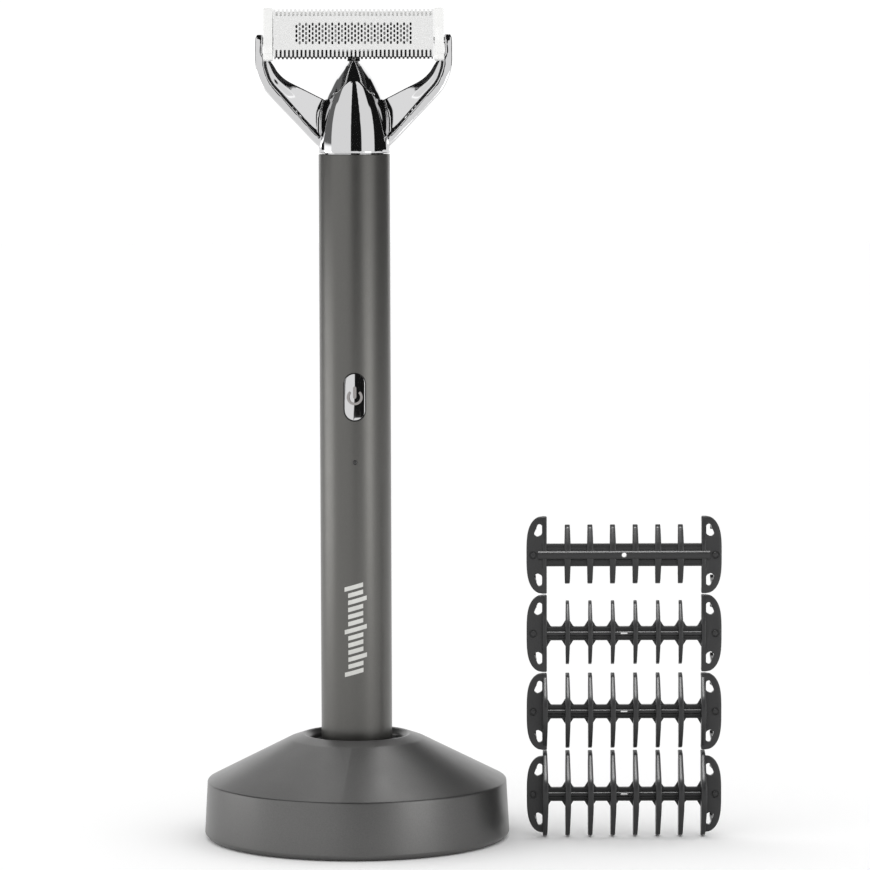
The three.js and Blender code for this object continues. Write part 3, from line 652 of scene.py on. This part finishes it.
def front_mark():
    """A plain mark in place of a name: a row of slanted bars, printed on the handle's curve."""
    pitch = (MARK_HIGH - MARK_LOW) / MARK_BARS
    bars = []
    for i in range(MARK_BARS):
        left = -MARK_LONG if i % 6 == 0 else -MARK_SHORT
        right = MARK_LONG if i % 4 == 2 else MARK_SHORT
        foot = MARK_LOW + pitch * i
        lower = [(x, foot + MARK_SLANT * (x + MARK_LONG) / MARK_LONG) for x in (left, right)]
        upper = [(x, z + pitch * MARK_FILL) for x, z in reversed(lower)]
        bars.append(slab("front_mark", lower + upper, (-TUBE_R - 1, -6)))
    mark = join(bars[0], *bars[1:])
    inner, outer = TUBE_R - 0.02, TUBE_R + 0.03
    low, high = MARK_LOW - 1, MARK_HIGH + 2
    ink = lathe("ink", [(inner, low), (outer, low), (outer, high), (inner, high)], 256)
    combine(mark, [ink], "INTERSECT")
    return dress(smooth(mark), "tube_paint", "groomer", paint="mark_ink")


# ---------------------------------------------------------------- fork head

NOSE_HEIGHT = 24.6
NOSE_TOP = 198.9
NOSE_TIP_HALF = 1.75
NOSE_LEAN = 1.3
NOSE_TAPER = 1.35
NOSE_SINK = 0.15
NOSE_WALL = 1.4
BROW_HEIGHT = 17.6
BROW_BEND = 0.3
BROW_SLOPE = 0.6
BROW_ARCH = 0.16
BROW_ARCH_LIMIT = 2.6
ELBOW_R = 13.5
ELBOW_Z = 197.7
ARM_INNER_X = 22.85
PIVOT_HOLE_R = 1.0
PLUG_BOTTOM = 163.6
PLUG_R = 7.75
PLUG_BORE_R = 6.2
PLUG_GROOVE = (168, 170)
PLUG_GROOVE_R = 6.9
VOXEL = 0.17
# Where the nose meets the arms, in X. Its front is softened more than the rest.
FILLET_X = (7.2, 9.2)
LOFT_STEPS = 14
EDGE_STEPS = 3


def nose_section(z):
    """Half width, half depth and the middle's y at a height."""
    up = max(0.0, z - HEAD_BASE)
    rise = up / NOSE_HEIGHT
    half_width = max(NOSE_TIP_HALF, TUBE_R * (1 - rise**2.75))
    past_brow = max(0.0, z - HEAD_BASE - BROW_HEIGHT)
    bend = past_brow - BROW_BEND / 2 if past_brow > BROW_BEND else past_brow**2 / (2 * BROW_BEND)
    front = TUBE_R - NOSE_TAPER * (up / BROW_HEIGHT) ** 2.6 - BROW_SLOPE * bend
    middle = NOSE_LEAN * rise**2
    return half_width, front + middle, middle


def nose_loft(name, heights, inset=0.0, sides=120):
    """The nose, or its hollow. The brow starts higher in the middle than at the sides."""
    rings = []
    for z in heights:
        half_width, _, middle = nose_section(z)
        width = max(1.3, half_width - inset)
        ring = []
        for k in range(sides):
            turn = FULL_TURN * k / sides
            x = width * math.cos(turn)
            half_depth = nose_section(z + min(BROW_ARCH * x**2, BROW_ARCH_LIMIT))[1]
            ring.append((x, max(1.1, half_depth - inset) * math.sin(turn) + middle, z))
        rings.append(ring)
    return loft(name, rings)


def elbow(degrees):
    """A point on the outer curve of the right arm's elbow."""
    turn = math.radians(degrees)
    return ARM_X - ELBOW_R + ELBOW_R * math.cos(turn), ELBOW_Z + ELBOW_R * math.sin(turn)


# The right arm, from inside the nose to its tip: the outer and the inner edge in X and Z, then in Y the
# band's outer and inner edges and the inner edge's front and back, and the swell of the facet's middle.
ARM_STATIONS = [
    ((6.5, 174.4), (4.0, 186.0), (-3.4, -3.9, 1.7, 3.2), 0.0),
    ((9.4, 176.2), (7.5, 187.5), (-3.3, -3.8, 1.5, 3.1), 0.0),
    ((15.2, 182.2), (12.4, 190.0), (-2.9, -3.4, 0.7, 2.9), 0.1),
    (elbow(-44), (16.8, 192.3), (-2.7, -3.2, -0.2, 2.7), 0.45),
    (elbow(-30), (19.0, 194.3), (-2.5, -3.0, -0.2, 2.5), 0.5),
    (elbow(-14), (20.2, 196.2), (-2.3, -2.8, -0.3, 2.4), 0.4),
    (elbow(-3), (21.4, 197.8), (-2.1, -2.6, -0.9, 2.3), 0.25),
    ((ARM_X, 199.2), (ARM_INNER_X, 199.0), (-2.0, -2.4, -2.1, 2.2), 0.0),
    ((ARM_X, 201.6), (ARM_INNER_X, 201.6), (-1.8, -2.2, -2.0, 2.1), 0.0),
    ((ARM_X - 0.1, 203.0), (ARM_INNER_X, 203.0), (-1.7, -1.8, -1.7, 1.8), 0.0),
    ((ARM_X - 0.5, 203.9), (22.9, 203.9), (-1.0, -1.1, -1.0, 1.1), 0.0),
]
# The flat band along the arm's outer edge, and the crease between it and the facet inside.
BAND = 2.05
CREASE = 0.8
CREASE_DEPTH = 1.0


def catmull(values, t):
    """A smooth curve through equally spaced values."""
    i = min(int(t), len(values) - 2)
    f = t - i
    a, b, c, d = [values[max(0, min(len(values) - 1, i + k))] for k in (-1, 0, 1, 2)]
    square, cube = 2 * a - 5 * b + 4 * c - d, 3 * b - a - 3 * c + d
    return 0.5 * (2 * b + (c - a) * f + square * f**2 + cube * f**3)


def arm_ring(t):
    """The arm's section at a station number: band, crease, facet and back, with soft corners."""
    flat = [(*outer, *inner, *depths, swell) for outer, inner, depths, swell in ARM_STATIONS]
    ox, oz, ix, iz, band_out, band_in, front, back, swell = [catmull(row, t) for row in zip(*flat)]
    across = Vector((ix - ox, iz - oz))
    width = across.length
    band = min(BAND, width - 0.6)
    crease = min(band + CREASE, width - 0.25)
    facet = band_in + min(CREASE_DEPTH, (front - band_in) / 2)
    corners = [
        (0, back, 0.5),
        (0, band_out, 0.35),
        (band, band_in, 0.16),
        (crease, facet, 0.16),
        ((crease + width) / 2, (facet + front) / 2 - swell, 0.6),
        (width, front, 0.25),
        (width, back, 0.3),
    ]
    section = rounded(corners, closed=True, steps=4)
    ring = []
    for here, after in zip(section, [*section[1:], section[0]]):
        for k in range(EDGE_STEPS):
            distance, y = Vector(here).lerp(Vector(after), k / EDGE_STEPS)
            place = across * distance / width
            ring.append((ox + place.x, y, oz + place.y))
    return ring


def nose_and_arms():
    """The casting's outside, with its joins and corners softened as a polished casting's are."""
    last = len(ARM_STATIONS) - 1
    count = last * LOFT_STEPS
    arm = loft("arm", [arm_ring(last * k / count) for k in range(count + 1)])
    other = mirror_x(arm)
    rings = 90
    low = HEAD_BASE - NOSE_SINK
    head = nose_loft("fork_casting", [low + (NOSE_TOP - low) * k / rings for k in range(rings + 1)])
    join(head, arm, other)
    remesh = head.modifiers.new("remesh", "REMESH")
    remesh.mode = "VOXEL"
    remesh.voxel_size = VOXEL * MM
    soften = head.modifiers.new("soften", "SMOOTH")
    soften.factor = 0.5
    soften.iterations = 9
    settle(head)
    inner, outer = FILLET_X
    near = [v.index for v in head.data.vertices if inner < abs(v.co.x) / MM < outer and v.co.y < 0]
    head.vertex_groups.new(name="fillet").add(near, 1, "REPLACE")
    blend = head.modifiers.new("blend", "SMOOTH")
    blend.vertex_group = "fillet"
    blend.iterations = 40
    return settle(head)


def fork_plug():
    """The plug that goes into the tube, with a groove for the O-ring."""
    groove_low, groove_high = PLUG_GROOVE
    top = HEAD_BASE + 0.5
    profile = [
        (0, PLUG_BOTTOM),
        (PLUG_R, PLUG_BOTTOM),
        (PLUG_R, groove_low),
        (PLUG_GROOVE_R, groove_low),
        (PLUG_GROOVE_R, groove_high),
        (PLUG_R, groove_high),
        (PLUG_R, top),
        (0, top),
    ]
    return lathe("plug", profile, 64)


def fork_head():
    """The chromed casting: nose, arms and plug, hollow for the drive and bored for the pivot pins."""
    plug = fork_plug()
    head = join(nose_and_arms(), plug)
    hollow = nose_loft("hollow", [HEAD_BASE + 1, 180, 185, 189, 192.5, 194.5, 196, 200], NOSE_WALL, 48)
    bore = slab("bore", circle(PLUG_BORE_R, sides=64), (PLUG_BOTTOM - 1.6, HEAD_BASE + 1.5), FLAT)
    relief = box("relief", (-4, 4), (-6, -0.45), (197.15, 202))
    pivot = circle(PIVOT_HOLE_R, (0, PIVOT_Z), 24)
    holes = [slab("hole", pivot, x, SIDE) for x in ((21, 24.1), (-24.1, -21))]
    cut(head, hollow, bore, relief, *holes)
    return dress(smooth(head, 50), "chrome", "groomer", ["fork_head"])


# ---------------------------------------------------------------- blade cartridge

# Places on the cartridge are measured from its pivot. Its layers run back from the guard to the body.
GUARD_LAYER = (-2.4, -2.05)
CUTTER_LAYER = (-1.95, -1.7)
CARRIER_LAYER = (-1.58, -1.5)
REAR_TEETH_LAYER = (-1.5, -1.22)
BLADE_MID = 1.35
BLADE_LOW = -4.6
BLADE_HIGH = 7.55
BLADE_X = 20.15
CUTTER_X = 19.3
CUTTER_TOP = 5.1
TOOTH_PITCH = 1.046
TOOTH_GAP = 0.5
TOOTH_TIP = 0.08
TOOTH_DEPTH = 1.75
REAR_TOOTH_GAP = 0.54
REAR_TEETH_DROP = 0.42
GUARD_GAPS = 38
FOIL_COLUMNS = 36
FOIL_PITCH = 0.82
FOIL_ROW = 1.18
FOIL_HOLE_HALF = (0.26, 0.46)
CUTTER_WINDOWS = 17
CUTTER_WINDOW_PITCH = 1.79
CUTTER_WINDOW_HALF = (0.6, 2.9)
TRAY_X = (4.9, 19.9)
TRAY_BACK = 2.8
BODY_X = 20
BODY_BOTTOM = -3.4
CAP_X = (20.35, 22.7)
CAP_TOP = 7.98
CAP_BOTTOM = -4.9
CAP_HALF_DEPTH = 2.6
CAP_EYE_R = 1.05


def spread(count, pitch):
    """Evenly spaced places about 0."""
    return [(i - (count - 1) / 2) * pitch for i in range(count)]


def toothed(half_x, low, high, gaps, both_edges=True):
    """A plate's outline with gaps along its lower edge, and perhaps its upper one, with soft corners."""
    tip, depth = TOOTH_TIP, TOOTH_DEPTH
    edge = []
    for x in spread(gaps, TOOTH_PITCH):
        left, right = x - TOOTH_GAP / 2, x + TOOTH_GAP / 2
        edge += [(left - tip, 0), (left, -tip), (left, tip - depth), (left + tip, -depth)]
        edge += [(right - tip, -depth), (right, tip - depth), (right, -tip), (right + tip, 0)]
    top = [(x, high + z) for x, z in edge] if both_edges else []
    bottom = [(-x, low - z) for x, z in edge]
    return [(-half_x, low), (-half_x, high), *top, (half_x, high), (half_x, low), *bottom]


def foil_holes():
    """Columns of four and five slots by turns."""
    holes = []
    for i, x in enumerate(spread(FOIL_COLUMNS, FOIL_PITCH)):
        for z in spread(5 if i % 2 else 4, FOIL_ROW):
            holes.append(stadium(*FOIL_HOLE_HALF, (x, BLADE_MID + z), 4))
    return holes


def guard_plate():
    """The steel guard, toothed along both edges, with the foil's slots in its middle."""
    outline = toothed(BLADE_X, BLADE_LOW, BLADE_HIGH, GUARD_GAPS)
    front = perforated("guard_foil", [outline, *foil_holes()], GUARD_LAYER, CARTRIDGE)
    return dress(smooth(front), "blade_steel", "cartridge", ["guard_plate"])


def moving_cutter():
    """The cutter: teeth along its lower edge, and a row of windows under the foil. It is painted a
    darker grey than the guard's steel, as painted shade.
    """
    outline = toothed(CUTTER_X, BLADE_LOW + 0.25, CUTTER_TOP, GUARD_GAPS - 2, False)
    places = spread(CUTTER_WINDOWS, CUTTER_WINDOW_PITCH)
    windows = [stadium(*CUTTER_WINDOW_HALF, (x, BLADE_MID), 6) for x in places]
    plate = perforated("cutter_blade", [outline, *windows], CUTTER_LAYER, CARTRIDGE)
    return dress(smooth(plate), "blade_steel", "cutter", ["moving_cutter"], "cutter_steel")


def guard_back():
    """A tray under the cartridge. The teeth along its front show below the guard's lower row. Tray and
    teeth are drawn as parts, and their black is painted shade, since they sit in shade.
    """
    inner, outer = TRAY_X
    low, high = BLADE_LOW - REAR_TEETH_DROP, BLADE_LOW + 1.6
    gap_top = BLADE_LOW + 0.05
    outline = [(-outer, high), (-outer, low)]
    for x in spread(GUARD_GAPS, TOOTH_PITCH):
        left, right = x - REAR_TOOTH_GAP / 2, x + REAR_TOOTH_GAP / 2
        outline += [(left, low), (left, gap_top), (right, gap_top), (right, low)]
    outline += [(outer, low), (outer, high)]
    tray = slab("guard_rear_teeth", outline, REAR_TEETH_LAYER, FRONT, CARTRIDGE)
    for side in (-1, 1):
        floor_x = sorted((side * inner, side * outer))
        floor_z = (BODY_BOTTOM - 0.35, BODY_BOTTOM - 0.03)
        join(tray, box("tray_floor", floor_x, (-1.3, TRAY_BACK), floor_z, CARTRIDGE))
    return dress(tray, "socket_plastic", "cartridge")


def cutter_carrier():
    """The plate behind the cutter, which shows through its windows and the foil. Its black is painted
    shade, for the shade that lies behind them.
    """
    carrier = box("cutter_carrier", (-16.2, 16.2), CARRIER_LAYER, (-2.9, 5.0), CARTRIDGE)
    return dress(carrier, "socket_plastic", "cutter")


def cartridge_frame():
    """The white body: a lip above the cutter, a window, a notch over the nose and spring pockets."""
    body_x = (-BODY_X, BODY_X)
    body = box("cartridge_body", body_x, (-1.2, 2.6), (BODY_BOTTOM, 6.1), CARTRIDGE)
    bevel(body, 0.5, 3)
    join(body, box("lip", body_x, (-1.75, -0.5), (CUTTER_TOP + 0.3, 7.1), CARTRIDGE))
    cut(
        body,
        box("window", (-17, 17), (-1.5, 3), (-2.0, 4.7), CARTRIDGE),
        box("notch", (-4.8, 4.8), (-2, 3), (-4, 0), CARTRIDGE),
        slab("pocket", circle(2.0), (18.4, 21), SIDE, CARTRIDGE),
        slab("pocket", circle(2.0), (-21, -18.4), SIDE, CARTRIDGE),
    )
    return dress(smooth(body), "white_plastic", "cartridge", ["cartridge_frame"])


def end_cap(side, name):
    """A white cap on the cartridge's end, with a foot at its lower front and an eye for the pin."""
    inner, outer = sorted(side * x for x in CAP_X)
    corners = [
        (-CAP_HALF_DEPTH, CAP_BOTTOM, 0.5),
        (-0.6, CAP_BOTTOM, 0.5),
        (CAP_HALF_DEPTH, -1.9, 0.9),
        (CAP_HALF_DEPTH, CAP_TOP, 0.9),
        (-CAP_HALF_DEPTH, CAP_TOP, 0.7),
    ]
    cap = slab(name, rounded(corners, closed=True, steps=6), (inner, outer), SIDE, CARTRIDGE)
    bevel(cap, 0.28, 3, 50)
    foot_z = (CAP_BOTTOM - 0.5, CAP_BOTTOM + 1)
    foot = box("foot", (inner, outer), (-CAP_HALF_DEPTH - 0.25, -0.5), foot_z, CARTRIDGE)
    bevel(foot, 0.2, 2)
    join(cap, foot)
    cut(cap, slab("eye", circle(CAP_EYE_R, sides=24), (inner - 1, outer + 1), SIDE, CARTRIDGE))
    return dress(smooth(cap), "white_plastic", "cartridge", [name.replace("cap_cover", "end_cap")])


# ---------------------------------------------------------------- guide combs

RIB_PITCH = 5.74
PLATE_X = 19.6
PLATE_OUTER = 24.75
PLATE_HALF_Z = 9.85
PLATE_BEND_X = PLATE_X + 1.1
DIMPLE_X = 23.1
DIMPLE_R = 1.06
STUD_R = 0.68
LEG_X = (22.2, 23.1)
LEG_REACH = 3.4
WEB_HALF = 1.5
END_RIB = (1.1, 1.1)
END_RIB_LENGTH = 2.2
SPINE_SLOT_HALF = (0.2, 0.9)
SPINE_HOLE_R = 0.62
# The Y of the face that lies on the guard. Y = 0 is the cartridge's pivot.
SEAT = -2.8
# Each comb's cutting length, half of a rib's span, rib thickness at root and tip, number of ribs,
# the spine's half height, and how far a web rises from the spine at each rib.
COMBS = {
    "guide_comb_1": (1.5, 7.75, (1.75, 1.25), 6, 2.87, 0.0),
    "guide_comb_2": (3.0, 8.3, (1.25, 0.85), 6, 1.75, 2.4),
    "guide_comb_3": (5.0, 9.75, (1.35, 1.0), 8, 1.75, 2.4),
    "guide_comb_4": (7.0, 11.05, (1.5, 1.1), 8, 1.75, 2.4),
}


def comb_spine(spine, web):
    """The spine's outline. It is straight, or it rises to a web at each rib."""
    right = []
    for i in range(4 if web else 0):
        start = (i - 0.5) * RIB_PITCH
        if i:
            right += [(start, spine + web), (start + WEB_HALF, spine, 0.5)]
        right += [(start + RIB_PITCH - WEB_HALF, spine, 0.5)]
    right.append((PLATE_X + 0.4, spine + web))
    top = [(-p[0], *p[1:]) for p in reversed(right)] + right
    bottom = [(p[0], -p[1], *p[2:]) for p in reversed(top)]
    return rounded(top + bottom, closed=True, steps=3)


def comb_rib(x, thickness, length, span):
    """A rib: its front falls away to both ends, which are thinner and reach round the blade's edges."""
    root, tip = thickness
    front = SEAT - length
    back = SEAT + 1.5
    half = [
        (front, span * 0.3, 6.0),
        (front + (back - front) * 0.62, span - 0.6, 1.6),
        (back, span, 0.3),
        (back, span - 0.8, 0.2),
        (SEAT + 0.2, span - 1.6, 0.5),
        (SEAT, span - 3.0),
    ]
    path = rounded(half + [(p[0], -p[1], *p[2:]) for p in reversed(half)], closed=True, steps=5)
    rib = slab("rib", path, (-root / 2, root / 2), SIDE)
    bevel(rib, root * 0.22, 2, 60)
    for vert in rib.data.vertices:
        share = min(1.0, abs(vert.co.z) / MM / span)
        vert.co.x = vert.co.x * (1 - (1 - tip / root) * share**1.2) + x * MM
    return rib


def comb_plate(side):
    """An end plate: straight inside, round outside, with two windows and a stud in a dimple."""
    steps = 24
    half = [(PLATE_X, PLATE_HALF_Z), (PLATE_BEND_X, PLATE_HALF_Z)]
    for k in range(1, steps + 1):
        z = PLATE_HALF_Z * 0.985 * math.cos(math.pi / 2 * k / steps)
        bulge = (1 - (z / PLATE_HALF_Z) ** 3.4) ** 0.5
        half.append((PLATE_BEND_X + (PLATE_OUTER - PLATE_BEND_X) * bulge, z))
    outline = [(x * side, z) for x, z in half + [(x, -z) for x, z in reversed(half[:-1])]]
    plate = slab("plate", outline, (SEAT - 1.25, SEAT))
    bevel(plate, 0.28, 3, 40)
    corners = [(20.8, 5.2, 0.8), (22.0, 4.6, 0.6), (22.9, 5.3, 0.5), (21.8, 8.0, 0.5), (20.8, 7.7, 0.6)]
    window = rounded(corners, closed=True, steps=5)
    for up in (-1, 1):
        cut(plate, slab("window", [(u * side, v * up) for u, v in window], (SEAT - 3, SEAT + 2)))
    centre = (side * DIMPLE_X, 0)
    cut(plate, slab("dimple", circle(DIMPLE_R, centre), (SEAT - 2, SEAT - 0.9)))
    stud = slab("stud", circle(STUD_R, centre), (SEAT - 1.3, SEAT - 0.5))
    return join(plate, bevel(stud, 0.15, 3, 50))


def comb_leg(side, up):
    """A clip leg beside a window, which hooks over the back of the cartridge's end cap."""
    path = [
        (SEAT - 0.6, 6.45),
        (2.75, 6.45, 0.2),
        (2.75, 5.85, 0.2),
        (LEG_REACH, 5.85, 0.25),
        (LEG_REACH, 7.0, 0.4),
        (SEAT - 0.6, 8.4),
    ]
    path = [(u, v * up) for u, v in rounded(path, steps=5)]
    leg = slab("leg", path, sorted(side * x for x in LEG_X), SIDE)
    return bevel(leg, 0.15, 2, 50)


def comb_rail(spine, web):
    """What stands on the spine: a round rod between low edges, or on the wide spine a broad flat bar."""
    if web:
        pieces = [slab("rail", circle(0.72, (SEAT - 0.85, 0), 24), (-PLATE_X, PLATE_X), SIDE)]
        edge, reach = 0.35, PLATE_X
    else:
        front = SEAT - 1.75
        bar = [(SEAT - 0.4, -1.4), (front, -1.35, 1.15), (front, 1.35, 1.15), (SEAT - 0.4, 1.4)]
        pieces = [slab("rail", rounded(bar, steps=12), (-21.8, 21.8), SIDE)]
        edge, reach = 0.4, PLATE_X + 1.5
    for up in (-1, 1):
        edge_z = sorted((up * spine, up * (spine - edge)))
        pieces.append(box("edge", (-reach, reach), (SEAT - 1.2, SEAT - 0.3), edge_z))
    return pieces


def guide_comb(name, length, span, thickness, ribs, spine, web):
    """A comb, moulded in one. Those with six ribs have a low rib on each end plate as well."""
    short_name = name.replace("guide_", "")
    body = slab(short_name, comb_spine(spine, web), (SEAT - 0.75, SEAT))
    parts = comb_rail(spine, web)
    for x in spread(ribs, RIB_PITCH):
        parts.append(comb_rib(x, thickness, length, span))
    for side in (-1, 1):
        parts.append(comb_plate(side))
        parts += [comb_leg(side, up) for up in (-1, 1)]
        if ribs == 6:
            end_length = min(length, END_RIB_LENGTH)
            parts.append(comb_rib(side * (PLATE_X + 0.6), END_RIB, end_length, PLATE_HALF_Z))
    join(body, *parts)
    hole = stadium(*SPINE_SLOT_HALF, steps=6) if web else circle(SPINE_HOLE_R)
    cut(body, slab("hole", [(v, u) for u, v in hole], (SEAT - 4, SEAT + 2)))
    pivot_y = cad_box(name)[1].y - LEG_REACH
    place = Vector((cad_middle(name, "x"), pivot_y, cad_middle(name, "z")))
    body.data.transform(Matrix.Translation(place * MM))
    return dress(smooth(body, 35), "comb_plastic", short_name, [name])


# ---------------------------------------------------------------- everything in place

stand_shell()
socket_cup()
base_pad()
handle_tube()
button_seal()
power_button()
power_icon()
light_lens()
front_mark()
fork_head()
guard_plate()
moving_cutter()
guard_back()
cutter_carrier()
cartridge_frame()
end_cap(-1, "cap_cover_left")
end_cap(1, "cap_cover_right")
for comb_name, measures in COMBS.items():
    guide_comb(comb_name, *measures)

# ---------------------------------------------------------------- stage, light and camera

FLOOR_HALF = 4000
FLOOR_COLOR = (0.95, 0.95, 0.95)
ROOM_LIGHT = 1.06
DARK = 0.01
# What shiny surfaces see besides darkness: panels by compass (0 at the front, 90 at the right) and by
# elevation, each from and to in degrees, then its brightness, and how softly it ends along the compass
# and in height.
PANELS = [
    ((-112, -79), (-10, -0.2), 1.6, (2, 1)),
    ((-150, -79), (1, 34), 0.16, (3, 1)),
    ((-77, -11), (-10, 33), 1.03, (2, 1)),
    ((26, 69), (-10, 33), 1.03, (2, 1)),
    ((-72, -33), (34, 56), 1.1, (3, 2)),
    ((33, 72), (34, 56), 1.1, (3, 2)),
    ((-200, -145), (-20, 23), 1.3, (6, 4)),
    ((145, 200), (-20, 23), 1.3, (6, 4)),
    ((-177, -150), (34, 66), 1.35, (5, 5)),
    ((154, 173), (51, 70), 2.6, (4, 4)),
    ((177, 200), (42, 70), 1.0, (4, 5)),
    ((-200, -177), (42, 70), 1.0, (4, 5)),
]
STRIP_DISTANCE = 420
STRIP_LENGTH = 220
STRIP_HEIGHT = 45
CAMERA_PLACE = (20.45, -1100, 193)
CAMERA_LENS = 180
CAMERA_SENSOR = 36
CAMERA_DOWN = 4.7
CAMERA_ROLL = 0.18


def floor():
    """A plain white floor, far larger than the view."""
    bm = bmesh.new()
    corners = [(-1, -1), (1, -1), (1, 1), (-1, 1)]
    bm.faces.new([bm.verts.new((x * FLOOR_HALF, y * FLOOR_HALF, 0)) for x, y in corners])
    plane = mesh_object("floor", bm)
    paint = Paint("floor_paint", FLOOR_COLOR, 0.8, Specular_IOR_Level=0.0)
    plane.data.materials.append(paint.material)


class Room:
    """The world's nodes."""

    def __init__(self, world):
        world.use_nodes = True
        self.nodes = world.node_tree.nodes
        self.links = world.node_tree.links
        self.nodes.clear()

    def add(self, kind, **settings):
        made = self.nodes.new(kind)
        for key, value in settings.items():
            setattr(made, key, value)
        return made

    def feed(self, socket, value):
        """Sets a socket to a number, or links another node's output to it."""
        if isinstance(value, (int, float)):
            socket.default_value = value
        else:
            self.links.new(value, socket)

    def calculate(self, operation, *values):
        made = self.add("ShaderNodeMath", operation=operation)
        for socket, value in zip(made.inputs, values):
            self.feed(socket, value)
        return made.outputs[0]

    def window(self, value, low, high, soft):
        """1 inside a range of degrees, fading over soft degrees outside."""
        rise = self.add("ShaderNodeMapRange", interpolation_type="SMOOTHSTEP")
        fall = self.add("ShaderNodeMapRange", interpolation_type="SMOOTHSTEP")
        for made, start, end in ((rise, low - soft, low), (fall, high + soft, high)):
            made.inputs["From Min"].default_value = math.radians(start)
            made.inputs["From Max"].default_value = math.radians(end)
            self.feed(made.inputs["Value"], value)
        return self.calculate("MULTIPLY", rise.outputs[0], fall.outputs[0])

    def background(self, strength):
        """White, as bright as a number or another node's output."""
        made = self.add("ShaderNodeBackground")
        made.inputs["Color"].default_value = (1, 1, 1, 1)
        self.feed(made.inputs["Strength"], strength)
        return made.outputs[0]


def studio():
    """A white room for the eye and for soft light, and panels in a dark room for reflections."""
    world = bpy.data.worlds.new("studio")
    bpy.context.scene.world = world
    room = Room(world)
    split = room.add("ShaderNodeSeparateXYZ")
    room.feed(split.inputs[0], room.add("ShaderNodeTexCoord").outputs["Generated"])
    x, y, z = split.outputs
    compass = room.calculate("ARCTAN2", x, room.calculate("MULTIPLY", y, -1))
    height = room.calculate("ARCSINE", z)
    strength = DARK
    for across, up, level, soft in PANELS:
        inside = room.window(compass, *across, soft[0])
        inside = room.calculate("MULTIPLY", inside, room.window(height, *up, soft[1]))
        strength = room.calculate("ADD", room.calculate("MULTIPLY", inside, level), strength)
    glossy = room.add("ShaderNodeLightPath").outputs["Is Glossy Ray"]
    mix = room.add("ShaderNodeMixShader")
    shades = (room.background(ROOM_LIGHT), room.background(strength))
    for socket, output in zip(mix.inputs, (glossy, *shades)):
        room.feed(socket, output)
    room.feed(room.add("ShaderNodeOutputWorld").inputs["Surface"], mix.outputs[0])


def area_lamp(name, place, turn, size, power):
    """A soft rectangular light that the camera doesn't see."""
    data = bpy.data.lights.new(name, "AREA")
    data.shape = "RECTANGLE"
    data.size = size[0] * MM
    data.size_y = size[1] * MM
    data.energy = power
    made = bpy.data.objects.new(name, data)
    made.location = Vector(place) * MM
    made.rotation_euler = turn
    made.visible_camera = False
    bpy.context.scene.collection.objects.link(made)
    return made


def strip_lamp(name, compass, power, width):
    """A tall strip beside the handle, ending below the handle's top, so the head doesn't mirror it."""
    turn = math.radians(compass)
    place = (STRIP_DISTANCE * math.sin(turn), -STRIP_DISTANCE * math.cos(turn), STRIP_HEIGHT)
    area_lamp(name, place, (math.radians(90), 0, turn), (width, STRIP_LENGTH), power)


def collection_of(name, pieces):
    made = bpy.data.collections.new(name)
    for piece in pieces:
        made.objects.link(bpy.data.objects[piece])
    return made


def small_lamp(name, place, tilt, size, power, lit, blocked_by=()):
    """A light tilted from straight down, that lights only some pieces and is shaded only by some."""
    made = area_lamp(name, place, (math.radians(tilt), 0, 0), size, power)
    made.light_linking.receiver_collection = collection_of(name + "_lights", lit)
    if blocked_by:
        made.light_linking.blocker_collection = collection_of(name + "_blockers", blocked_by)


def camera():
    """Level with the head, a little over a metre away, looking slightly down."""
    data = bpy.data.cameras.new("camera")
    data.lens = CAMERA_LENS
    data.sensor_width = CAMERA_SENSOR
    made = bpy.data.objects.new("camera", data)
    made.location = Vector(CAMERA_PLACE) * MM
    made.rotation_euler = (math.radians(90 - CAMERA_DOWN), math.radians(CAMERA_ROLL), 0)
    bpy.context.scene.collection.objects.link(made)
    bpy.context.scene.camera = made


floor()
studio()
strip_lamp("strip_left", -95, 0.42, 300)
strip_lamp("strip_right", 46, 0.24, 170)
# Above and before the combs, to pick out the upper half of each rib.
comb_pieces = [name.replace("guide_", "") for name in COMBS]
small_lamp("comb_lamp", (72, -170, 330), 32, (120, 90), 1.0, comb_pieces)
# Above and behind the stand, to fill the handle's dark mirror image on the cone's front.
small_lamp("cone_lamp", (0, 215, 480), -27, (40, 200), 0.14, ["stand_body"], ["stand_body"])
camera()
bpy.context.scene.view_settings.view_transform = "Standard"
